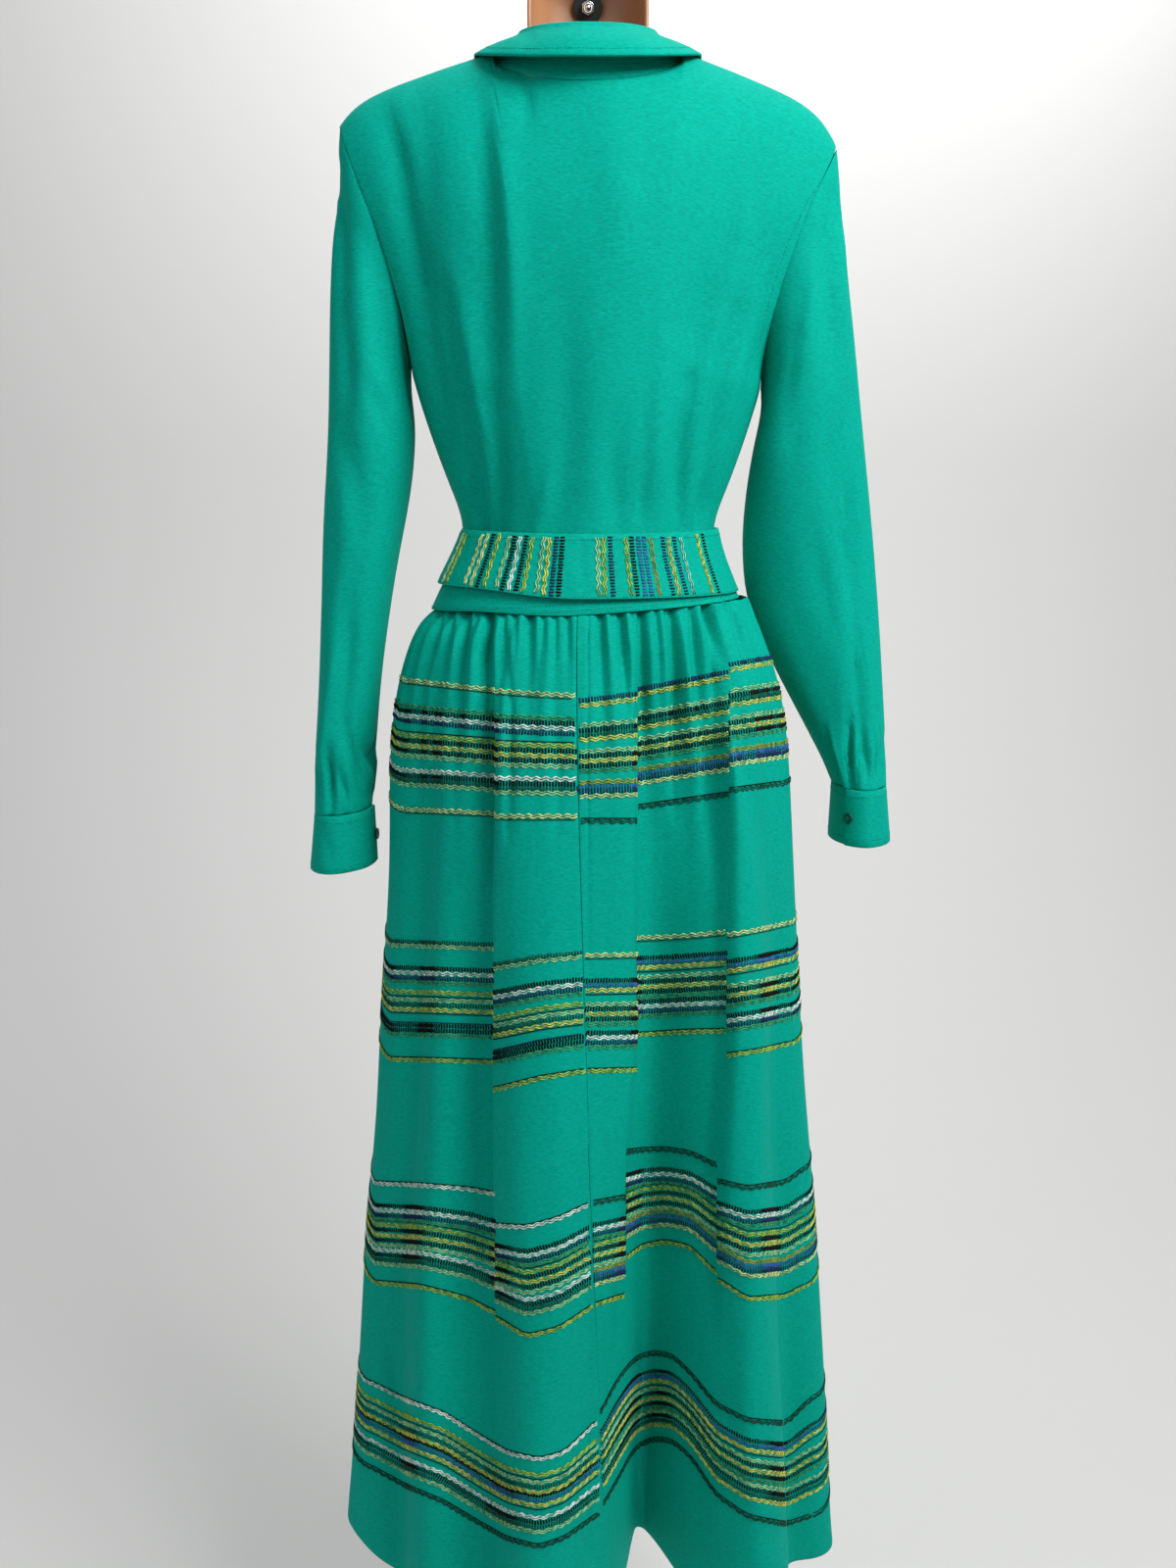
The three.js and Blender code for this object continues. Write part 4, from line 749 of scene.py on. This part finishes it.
def close_seams(name, points, out):
    """Draws the ends of a skirt panel's rows out by a hair, so that its seams close in a groove."""
    turn = np.degrees(np.arctan2(points[:, 0] / SEAM_OVAL[0], -points[:, 1] / SEAM_OVAL[1])) % 360
    if name.endswith("left"):
        turn -= 360
    rows = np.floor(points[:, 2] / SEAM_ROW).astype(int)
    rows -= rows.min()
    low = np.full(rows.max() + 1, 999.0)
    high = np.full(rows.max() + 1, -999.0)
    np.minimum.at(low, rows, turn)
    np.maximum.at(high, rows, turn)
    near_high = np.clip(1 - (high[rows] - turn) / SEAM_TURN, 0, 1)
    near_low = np.clip(1 - (turn - low[rows]) / SEAM_TURN, 0, 1)
    slide = SEAM_SLIDE * MM * (near_high - near_low)
    points[:, 0] -= out[:, 1] * slide
    points[:, 1] += out[:, 0] * slide
    return SEAM_GROOVE * (near_high + near_low) ** 2


def soft_waves(points, size, count, stretch, seed):
    """Low uneven swells, the same on both sides of a seam, so that no panel is perfectly smooth."""
    total = np.zeros(len(points))
    dice = np.random.default_rng(seed)
    for _ in range(count):
        around = dice.uniform(18, 70)
        turn = dice.uniform(-0.5, 0.5)
        start = dice.uniform(0, FULL_TURN)
        across = points[:, 0] * 0.9 + points[:, 1] * 0.7
        run = across * math.cos(turn) * around + points[:, 2] * math.sin(turn) * around * stretch
        total += np.sin(run + start + 2.2 * np.sin(points[:, 2] * dice.uniform(5, 12)))
    return size * total / math.sqrt(count)


# The middle of each tube at its upper and its lower end
CENTRES = {
    "sleeve_left": ((-184, 0, 1300), (-234, -4, 810)),
    "sleeve_right": ((184, 0, 1290), (268, 30, 820)),
    "cuff_left": ((-234, -4, 810), (-236, -4, 750)),
    "cuff_right": ((268, 30, 826), (270, 30, 770)),
}


def ways_out(name, points):
    """The level direction away from the tube's middle for each point."""
    if name not in CENTRES:
        away = points[:, :2].copy()
        away[:, 1] *= 2.2
    else:
        (ax, ay, az), (bx, by, bz) = CENTRES[name]
        t = (points[:, 2] / MM + HEM_TO_HOOK - az) / (bz - az)
        middle = np.stack([ax + (bx - ax) * t, ay + (by - ay) * t], axis=1) * MM
        away = points[:, :2] - middle
    return away / np.maximum(np.linalg.norm(away, axis=1, keepdims=True), 1e-6)


# Points closer than this in metres are one point
SAME_POINT = 2e-5
# An edge with a sharper bend than this in degrees stays an edge, this firmly
SHARP_BEND = 76
SHARP_HOLD = 0.9
SKIRTS = ("skirt_back_left", "skirt_back_right", "skirt_front_left", "skirt_front_right")


def rounded(name, levels):
    """An object with the solid's form, rounded but for its sharp edges."""
    bm = bmesh.new()
    bm.from_mesh(nodes[name].data)
    bmesh.ops.remove_doubles(bm, verts=bm.verts, dist=SAME_POINT)
    bmesh.ops.join_triangles(
        bm, faces=bm.faces, angle_face_threshold=math.radians(40), angle_shape_threshold=math.radians(60)
    )
    layer = bm.edges.layers.float.new("crease_edge")
    for edge in bm.edges:
        if len(edge.link_faces) == 2 and edge.calc_face_angle() > math.radians(SHARP_BEND):
            edge[layer] = SHARP_HOLD
    mesh = bpy.data.meshes.new(name + "_base")
    bm.to_mesh(mesh)
    bm.free()
    obj = bpy.data.objects.new(name + "_cloth", mesh)
    bpy.context.scene.collection.objects.link(obj)
    rounding = obj.modifiers.new("round", "SUBSURF")
    rounding.levels = levels
    rounding.render_levels = levels
    graph = bpy.context.evaluated_depsgraph_get()
    fine = bpy.data.meshes.new_from_object(obj.evaluated_get(graph))
    obj.modifiers.clear()
    obj.data = fine
    return obj


def wave_seed(name):
    """Pieces that share a seam share their swells."""
    if name.startswith("skirt"):
        return 3
    if "bodice" in name or "front" in name:
        return 5
    return 7


def cloth(name, levels, swell):
    """The cloth of one solid, rounded, with its creases, close to the solid's form."""
    obj = rounded(name, levels)
    fine = obj.data
    places = np.zeros(len(fine.vertices) * 3)
    fine.vertices.foreach_get("co", places)
    places = places.reshape(-1, 3)
    shift = crease_shift(places, CREASES.get(name, ())) * CREASE_STRENGTH.get(name, 1)
    heights = places[:, 2]
    ends = np.minimum(heights - heights.min(), heights.max() - heights) / 0.02
    shift += soft_waves(places, swell, 5, 0.5, wave_seed(name))
    shift *= 0.25 + 0.75 * np.clip(ends, 0, 1)
    rise = lift(name, places)
    if name in SKIRTS:
        shift += gather_shift(places) + fold_shift(places)
    if name in SLITS:
        behind = places[:, 1] < 0.01
        if name == "sleeve_right":
            behind = np.clip((0.03 - places[:, 1]) / 0.02, 0, 1)
        level = places[:, 2] / MM + HEM_TO_HOOK
        shift += behind * edge_shift(places[:, 0] / MM, level, SLITS[name], 1.3, 4, 30)
    out = ways_out(name, places)
    if name in SKIRTS:
        shift += close_seams(name, places, out)
    places[:, 2] += rise * MM
    places[:, :2] += out * (shift * MM)[:, None]
    fine.vertices.foreach_set("co", places.ravel())
    fine.materials.clear()
    fine.materials.append(CLOTH)
    fine.shade_smooth()
    fine.set_sharp_from_angle(angle=math.radians(50))
    fine.update()
    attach(obj, "root")
    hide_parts(name)
    return obj


# How often each cloth is rounded, and how high its swells are, with the usual value for the rest
USUAL_LEVEL = 2
LEVELS = {"skirt_back_left": 3, "skirt_back_right": 3}
USUAL_SWELL = 0.12
SWELLS = {
    **dict.fromkeys(SKIRTS, 0.9),
    **dict.fromkeys(("sleeve_left", "sleeve_right"), 0.8),
    **dict.fromkeys(("front_bodice_left", "front_bodice_right"), 0.5),
    "back_bodice": 0.6,
}
wear = {name: cloth(name, LEVELS.get(name, USUAL_LEVEL), SWELLS.get(name, USUAL_SWELL)) for name in CUTS}


def tree_of(*names):
    """One search tree over the faces of these pieces."""
    vertices = []
    faces = []
    for name in names:
        mesh = wear[name].data
        start = len(vertices)
        vertices += [v.co.copy() for v in mesh.vertices]
        faces += [[i + start for i in p.vertices] for p in mesh.polygons]
    return BVHTree.FromPolygons(vertices, faces)


# Yarns and stitches, laid on the cloth


class Strands:
    """Gathers the tubes and bars of one piece."""

    def __init__(self):
        self.vertices = []
        self.faces = []
        self.picks = []
        self.mats = []

    def pick(self, mat):
        if mat not in self.mats:
            self.mats.append(mat)
        return self.mats.index(mat)

    def tube(self, points, outs, thick, mat):
        """A three-sided tube along points; each point has its way out of the cloth."""
        if len(points) < 3:
            return
        pick = self.pick(mat)
        start = len(self.vertices)
        p = np.array(points)
        o = np.array(outs)
        run = np.gradient(p, axis=0)
        run /= np.maximum(np.linalg.norm(run, axis=1, keepdims=True), 1e-9)
        side = np.cross(run, o)
        side /= np.maximum(np.linalg.norm(side, axis=1, keepdims=True), 1e-9)
        sunk = o * thick * 0.35
        rings = [p + o * thick, p - sunk + side * thick, p - sunk - side * thick]
        for i in range(len(p)):
            self.vertices += [ring[i] for ring in rings]
        for i in range(len(p) - 1):
            a = start + 3 * i
            for k in range(3):
                m = (k + 1) % 3
                self.faces.append((a + k, a + m, a + 3 + m, a + 3 + k))
                self.picks.append(pick)
        last = start + 3 * (len(p) - 1)
        self.faces += [(start, start + 2, start + 1), (last, last + 1, last + 2)]
        self.picks += [pick, pick]

    def bar(self, centre, along, out, half_long, half_wide, high, mat):
        """A small bar lying on the cloth, four-sided with a ridge."""
        pick = self.pick(mat)
        start = len(self.vertices)
        side = np.cross(out, along)
        base = centre - out * high * 0.3
        for a, b in ((-1, -1), (1, -1), (1, 1), (-1, 1)):
            self.vertices.append(base + along * half_long * a + side * half_wide * b)
        for a in (-0.6, 0.6):
            self.vertices.append(centre + along * half_long * a + out * high)
        s = start
        for face in (
            (s, s + 1, s + 5, s + 4),
            (s + 2, s + 3, s + 4, s + 5),
            (s + 1, s + 2, s + 5),
            (s + 3, s, s + 4),
            (s, s + 3, s + 2, s + 1),
        ):
            self.faces.append(face)
            self.picks.append(pick)

    def build(self, name):
        obj = new_object(name, self.vertices, self.faces, self.mats, self.picks)
        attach(obj, "root")


def runs_on(tree, rows, angles, height_at):
    """Unbroken runs of points where rays towards an oval meet the cloth."""
    runs = [[]]
    for angle in angles:
        spot, out = oval(rows, angle, height_at(angle))
        hit, _, _, _ = tree.ray_cast(spot + out * 0.15, -out, 0.31)
        if hit is None:
            runs.append([])
            continue
        if runs[-1] and (hit - runs[-1][-1][0]).length > JUMP_ROUND:
            runs.append([])
        runs[-1].append((hit, out))
    return [run for run in runs if len(run) > 8]


def resample(run, step):
    """Even steps along a run of points."""
    p = np.array([tuple(point) for point, _ in run])
    o = np.array([tuple(out) for _, out in run])
    lengths = np.concatenate([[0], np.cumsum(np.linalg.norm(np.diff(p, axis=0), axis=1))])
    at = np.arange(0.001, lengths[-1] - 0.001, step)
    points = np.stack([np.interp(at, lengths, p[:, k]) for k in range(3)], axis=1)
    outs = np.stack([np.interp(at, lengths, o[:, k]) for k in range(3)], axis=1)
    tangents = np.gradient(points, axis=0)
    tangents /= np.maximum(np.linalg.norm(tangents, axis=1, keepdims=True), 1e-9)
    return at, points, outs, tangents


def lay_strand(piece, run, kind, colour):
    """One yarn strand: a wavy yarn, a thin straight one, or a row of bars."""
    if (run[0][0] - run[-1][0]).length < 0.012:
        return
    mat = YARN_MATS[colour]
    if kind == "dash":
        _, points, outs, tangents = resample(run, DASH_PITCH * MM)
        for point, out, tangent in zip(points, outs, tangents):
            across = np.cross(out, tangent)
            lean = across + tangent * rng.uniform(-0.12, 0.12)
            lean /= np.linalg.norm(lean)
            size = rng.uniform(*DASH_HALF_LONG) * MM
            piece.bar(point + out * 0.0003, lean, out, size, 0.0009, 0.0008, mat)
        return
    step = WAVE_LONG * MM / 6 if kind == "wave" else 0.004
    at, points, outs, tangents = resample(run, step)
    if kind == "thin":
        piece.tube(points + outs * 0.0004, outs, THIN_THICK * MM, mat)
        return
    across = np.cross(outs, tangents)
    phase = rng.uniform(0, FULL_TURN)
    uneven = 0.7 * np.sin(at * rng.uniform(18, 30) + phase)
    wave = WAVE_HIGH * MM * np.sin(at * 2 * math.pi / (WAVE_LONG * MM) + phase + uneven)
    points = points + across * wave[:, None]
    gap = PLY_APART * MM
    piece.tube(points + across * gap + outs * 0.0005, outs, YARN_THICK * MM, mat)
    piece.tube(points - across * gap + outs * 0.0004, outs, YARN_THICK * MM, mat)


PITCH = math.radians(TILT_DOWN)
EYE = place(*EYE_AT)
# Frame pixels to a millimetre of height, about, on the skirt
PIXELS_A_MM = 1.12


def sight(across, down):
    """The way from the camera through a place in the frame."""
    forward = Vector((0, math.cos(PITCH), -math.sin(PITCH)))
    up = Vector((0, math.sin(PITCH), math.cos(PITCH)))
    right = Vector(((across - FRAME_WIDE / 2) / FOCUS, 0, 0))
    return (forward + right + up * (FRAME_HIGH / 2 - down) / FOCUS).normalized()


def eased(values, reach=7):
    """The running mean of a path, with its ends kept."""
    before = 2 * values[0] - values[reach:0:-1]
    after = 2 * values[-1] - values[-2 : -reach - 2 : -1]
    window = 2 * reach + 1
    return np.convolve(np.concatenate([before, values, after]), np.ones(window) / window, "valid")


def seen_runs(tree, columns, share, up):
    """A stripe's runs of points behind, at its share of the way from the first stripe to the last."""
    across = np.arange(columns[0][0] - 1.5, columns[-1][0] + 1.6, 1.0)
    table = np.array(columns, float)
    first = eased(np.interp(across, table[:, 0], table[:, 1]))
    last = eased(np.interp(across, table[:, 0], table[:, 2]))
    runs = [[]]
    for x, y0, y1 in zip(across, first, last):
        way = sight(x, y0 + (y1 - y0) * share - up * PIXELS_A_MM)
        hit, normal, _, _ = tree.ray_cast(EYE, way)
        if hit is None:
            continue
        if normal.dot(way) > 0:
            normal = -normal
        if runs[-1] and (hit - runs[-1][-1][0]).length > JUMP_BEHIND:
            runs.append([])
        runs[-1].append((hit, normal))
    return [run for run in runs if len(run) > 4]


def angle_on(rows, point):
    """The angle round the oval, from the middle behind, at which a point lies."""
    _, left, right, back, front = row_at(rows, point.z / MM + HEM_TO_HOOK)
    wide = left if point.x < 0 else right
    deep = back if point.y < 0 else front
    return math.degrees(math.atan2(point.x / MM / wide, -point.y / MM / deep))


SIDES = {
    "left": (tree_of("skirt_back_left", "skirt_front_left"), -1),
    "right": (tree_of("skirt_back_right", "skirt_front_right"), 1),
}
for number, tier in enumerate(TIERS):
    for side, (tree, sign) in SIDES.items():
        piece = Strands()
        for share, band in zip(tier["shares"][side], STRIPES[number][side]):
            for up, kind, colour in BANDS[band]:
                for columns in tier[side]:
                    for run in seen_runs(tree, columns, share, up):
                        lay_strand(piece, run, kind, colour)
                edge = seen_runs(tree, tier[side][0] if side == "left" else tier[side][-1], share, up)
                tip = (edge[0][0] if side == "left" else edge[-1][-1])[0]
                begin = abs(angle_on(SKIRT, tip))
                tip_z = tip.z / MM + HEM_TO_HOOK
                goal = tier["height"][0] + (tier["height"][1] - tier["height"][0]) * share + up

                def height_at(angle, begin=begin, tip_z=tip_z, goal=goal):
                    t = min(1, max(0, (abs(angle) - begin) / 40))
                    return tip_z + (goal - tip_z) * t * t * (3 - 2 * t)

                for run in runs_on(tree, SKIRT, sign * np.arange(begin - 0.2, 180.4, 0.4), height_at):
                    lay_strand(piece, run, kind, colour)
        piece.build("skirt_yarns_" + side + "_" + str(number + 1))

belt_tree = tree_of("belt")
piece = Strands()
for x, kind, colour in BELT_STRANDS:
    angle = math.degrees(math.asin(max(-0.985, min(0.985, x / BELT_TOP_REACH))))
    for spot_angle in (angle, 180 - angle * 0.92):
        run = []
        for z in np.arange(1011, 1071, 2.0):
            spot, out = oval(BELT, spot_angle, z)
            hit, normal, _, _ = belt_tree.ray_cast(spot + out * 0.05, -out, 0.07)
            if hit is not None and normal.dot(out) > 0.7:
                run.append((hit, out))
        if len(run) > 8:
            lay_strand(piece, run, kind, colour)
piece.build("belt_yarns")


# Stitching

STITCH_LONG = 2.6
STITCH_STEP = 3.4


def sew(piece, run):
    """A row of stitches along a run of points, if it is long enough."""
    if len(run) < 4 or sum((a[0] - b[0]).length for a, b in zip(run, run[1:])) < 0.02:
        return
    _, points, outs, tangents = resample(run, STITCH_STEP * MM)
    for point, out, tangent in zip(points, outs, tangents):
        piece.bar(point + out * 0.00005, tangent, out, STITCH_LONG / 2 * MM, 0.00035, 0.0003, THREAD)


def from_behind(tree, x, z):
    """Where a level ray from behind meets the cloth."""
    hit, normal, _, _ = tree.ray_cast(place(x, -400, z), Vector((0, 1, 0)), 0.6)
    return (hit, normal) if hit is not None else None


stitches = Strands()

# The collar's lower edge: its half-width, depth and drop behind and in front, and how far in it is sewn
COLLAR_HALF_WIDE = 97
COLLAR_DEEP = {"back": 93, "front": 87}
COLLAR_DROP = {"back": 34, "front": 84}
COLLAR_SIDE_Z = 1460
COLLAR_POINT_DROP = 12
COLLAR_SEWN_IN = 6.5

collar_tree = tree_of("collar")
run = []
for turn in range(-172, 173, 2):
    c = math.cos(math.radians(turn))
    face = "back" if c > 0 else "front"
    point_drop = COLLAR_POINT_DROP * max(0, (abs(turn) - 140) / 40) ** 2
    edge_z = COLLAR_SIDE_Z - COLLAR_DROP[face] * abs(c) - point_drop + COLLAR_SEWN_IN
    spot = place(COLLAR_HALF_WIDE * math.sin(math.radians(turn)), -COLLAR_DEEP[face] * c, edge_z)
    out = Vector((spot.x, spot.y, 0)).normalized()
    hit, normal, _, _ = collar_tree.ray_cast(spot + out * 0.04, -out, 0.08)
    if hit is not None:
        run.append((hit, normal))
sew(stitches, run)

bodice_tree = tree_of("back_bodice")
ARMHOLE_STITCH = {
    "left": [(-203, 1378), (-186, 1340), (-172, 1306), (-157, 1262), (-151, 1234), (-149, 1212)],
    "right": [(204, 1366), (181, 1334), (164, 1296), (153, 1258), (146, 1218), (144, 1200)],
}
for points in ARMHOLE_STITCH.values():
    run = []
    for (x0, z0), (x1, z1) in zip(points, points[1:]):
        for k in range(12):
            found = from_behind(bodice_tree, x0 + (x1 - x0) * k / 12, z0 + (z1 - z0) * k / 12)
            if found:
                run.append(found)
    sew(stitches, run)

BAND_ROWS = (4.0, 9.0)
BELT_ROWS = (1016.5, 1066)

band_tree = tree_of("waistband")
for above in BAND_ROWS:
    for run in runs_on(
        band_tree,
        SKIRT,
        np.arange(-178, 178.5, 2.0),
        lambda angle, above=above: SKIRT_SEAM + SEAM_TILT * math.sin(math.radians(angle)) + above,
    ):
        sew(stitches, run)

for z in BELT_ROWS:
    run = []
    for angle in np.arange(-175, 175.5, 2.0):
        dip = 5 * math.cos(math.radians(angle)) if abs(angle) < 90 else 0
        spot, out = oval(BELT, angle, z - dip * (0.4 if z < 1040 else 1))
        hit, normal, _, _ = belt_tree.ray_cast(spot + out * 0.04, -out, 0.06)
        if hit is not None:
            run.append((hit, out))
    sew(stitches, run)

for arm in ("left", "right"):
    cuff_tree = tree_of("cuff_" + arm)
    (ax, ay, az), (bx, by, bz) = CENTRES["cuff_" + arm]
    for z in (az - 7, bz + 8):
        run = []
        for angle in range(0, 361, 5):
            out = Vector((math.sin(math.radians(angle)), -math.cos(math.radians(angle)), 0))
            hit, normal, _, _ = cuff_tree.ray_cast(place(ax, ay, z) + out * 0.09, -out, 0.09)
            if hit is None or normal.dot(out) < 0.3:
                sew(stitches, run)
                run = []
                continue
            run.append((hit, normal))
        sew(stitches, run)
stitches.build("topstitching")


# Buttons

# A button's section from its back to its face: radius and height
BUTTON_PROFILE = [
    (0, -1.1),
    (4.4, -1.1),
    (5.3, -0.4),
    (5.55, 0.4),
    (5.2, 1.1),
    (4.5, 1.2),
    (3.7, 0.6),
    (0, 0.5),
]
BUTTON_SIDES = 32
THREAD_APART = 1.1
THREAD_HIGH = 0.75


def button(name, node):
    """A turned button with a rim, and the two bars of thread that hold it."""
    low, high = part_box(node)
    centre = (Vector(low) + Vector(high)) / 2
    mesh = nodes[node].data
    normals = {}
    for p in mesh.polygons:
        key = tuple(round(v, 2) for v in p.normal)
        normals[key] = normals.get(key, 0) + p.area
    axis = Vector(max(normals, key=normals.get)).normalized()
    outward = Vector((centre.x, centre.y, 0))
    if "cuff" in node:
        side = "left" if centre.x < 0 else "right"
        outward -= Vector((CENTRES["cuff_" + side][0][0] * MM, CENTRES["cuff_" + side][0][1] * MM, 0))
    if axis.dot(outward) < 0:
        axis = -axis
    turn = Vector((0, 0, 1)).rotation_difference(axis).to_matrix()
    vertices = []
    faces = []
    count = BUTTON_SIDES
    for radius, up in BUTTON_PROFILE:
        for k in range(count):
            a = 2 * math.pi * k / count
            x = radius * MM * math.cos(a)
            y = radius * MM * math.sin(a)
            vertices.append(centre + turn @ Vector((x, y, up * MM)))
    for i in range(len(BUTTON_PROFILE) - 1):
        for k in range(count):
            m = (k + 1) % count
            faces.append((i * count + k, i * count + m, (i + 1) * count + m, (i + 1) * count + k))
    obj = new_object(name, vertices, faces, [BUTTON])
    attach(obj, "root")
    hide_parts(node)
    sewing = Strands()
    along = np.array(turn @ Vector((0, 1, 0)))
    for apart in (-THREAD_APART, THREAD_APART):
        spot = centre + turn @ Vector((apart * MM, 0, THREAD_HIGH * MM))
        sewing.bar(np.array(spot), along, np.array(axis), 0.0014, 0.0004, 0.0004, THREAD)
    sewing.build(name + "_thread")


for node in [n for n in nodes if "button" in n]:
    button(node + "_turned", node)


# Form, washer, nut and hook keep their solids, with smooth shading


def dress_solid(node, mat, angle, round_edges=0.0):
    """A copy of a solid with its material, smooth below the angle, with its edges rounded if asked."""
    obj = nodes[node].copy()
    obj.data = nodes[node].data.copy()
    obj.name = node + "_shown"
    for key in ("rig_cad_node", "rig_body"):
        if key in obj:
            del obj[key]
    obj.parent = None
    bpy.context.scene.collection.objects.link(obj)
    bm = bmesh.new()
    bm.from_mesh(obj.data)
    bmesh.ops.remove_doubles(bm, verts=bm.verts, dist=SAME_POINT)
    bm.to_mesh(obj.data)
    bm.free()
    obj.data.materials.clear()
    obj.data.materials.append(mat)
    obj.data.shade_smooth()
    obj.data.set_sharp_from_angle(angle=math.radians(angle))
    if round_edges:
        bevel = obj.modifiers.new("edges", "BEVEL")
        bevel.width = round_edges * MM
        bevel.segments = 2
        bevel.angle_limit = math.radians(35)
    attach(obj, "root")
    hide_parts(node)


dress_solid("torso_form", PLASTIC, 60)
dress_solid("form_washer", RUBBER, 40, 0.6)
dress_solid("form_nut", CHROME, 30, 0.5)
dress_solid("form_hook", CHROME, 40)


# Each cloth piece's cut is gone through here, and nothing is done with it

FOLDED = ("cuff_left", "cuff_right", "waistband", "belt", "collar_stand", "collar")
for name, (width, length, area) in CUTS.items():
    if name in FOLDED:
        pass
    elif name in SKIRTS:
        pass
    else:
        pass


# Studio: a pale wall and floor, and soft light

wall_mat, _, _ = shader("pale_wall", (0.74, 0.735, 0.72), 0.9)
curve = []
for k in range(SWEEP_STEPS + 1):
    a = math.radians(90 * k / SWEEP_STEPS)
    curve.append((WALL_Y - SWEEP + SWEEP * math.sin(a), FLOOR_Z + SWEEP - SWEEP * math.cos(a)))
profile = [(-STAGE_REACH, FLOOR_Z), *curve, (WALL_Y, WALL_TOP)]
vertices = []
faces = []
for y, z in profile:
    vertices += [place(-STAGE_REACH, y, z), place(STAGE_REACH, y, z)]
for i in range(len(profile) - 1):
    faces.append((2 * i, 2 * i + 1, 2 * i + 3, 2 * i + 2))
backdrop = new_object("backdrop", vertices, faces, [wall_mat])


def area_light(name, x, y, z, size, power, aim):
    """A white panel of light at a place, turned to what it aims at."""
    light = bpy.data.lights.new(name, "AREA")
    light.shape = "RECTANGLE"
    light.size = size[0]
    light.size_y = size[1]
    light.energy = power
    obj = bpy.data.objects.new(name, light)
    obj.location = place(x, y, z)
    direction = place(*aim) - obj.location
    obj.rotation_euler = direction.to_track_quat("-Z", "Y").to_euler()
    bpy.context.scene.collection.objects.link(obj)
    return obj


key = area_light("key", 1150, -1150, 2450, (1.1, 1.1), 55, (0, 0, 1350))
fill = area_light("fill", -1700, -1500, 2100, (2.0, 2.0), 9, (0, 0, 1300))
wash = area_light("wall_wash", 500, 1300, 3600, (3.0, 0.8), 60, (200, WALL_Y, 1500))

world = bpy.data.worlds.new("soft_room")
world.use_nodes = True
world.node_tree.nodes["Background"].inputs["Color"].default_value = (0.93, 0.96, 1.0, 1)
world.node_tree.nodes["Background"].inputs["Strength"].default_value = 0.3
bpy.context.scene.world = world
bpy.context.scene.view_settings.view_transform = "Standard"

camera_data = bpy.data.cameras.new("camera")
camera_data.lens = LENS
camera_data.sensor_width = 36
camera_data.clip_start = 0.05
camera = bpy.data.objects.new("camera", camera_data)
camera.location = EYE
camera.rotation_euler = (math.radians(90 - TILT_DOWN), 0, 0)
bpy.context.scene.collection.objects.link(camera)
bpy.context.scene.camera = camera
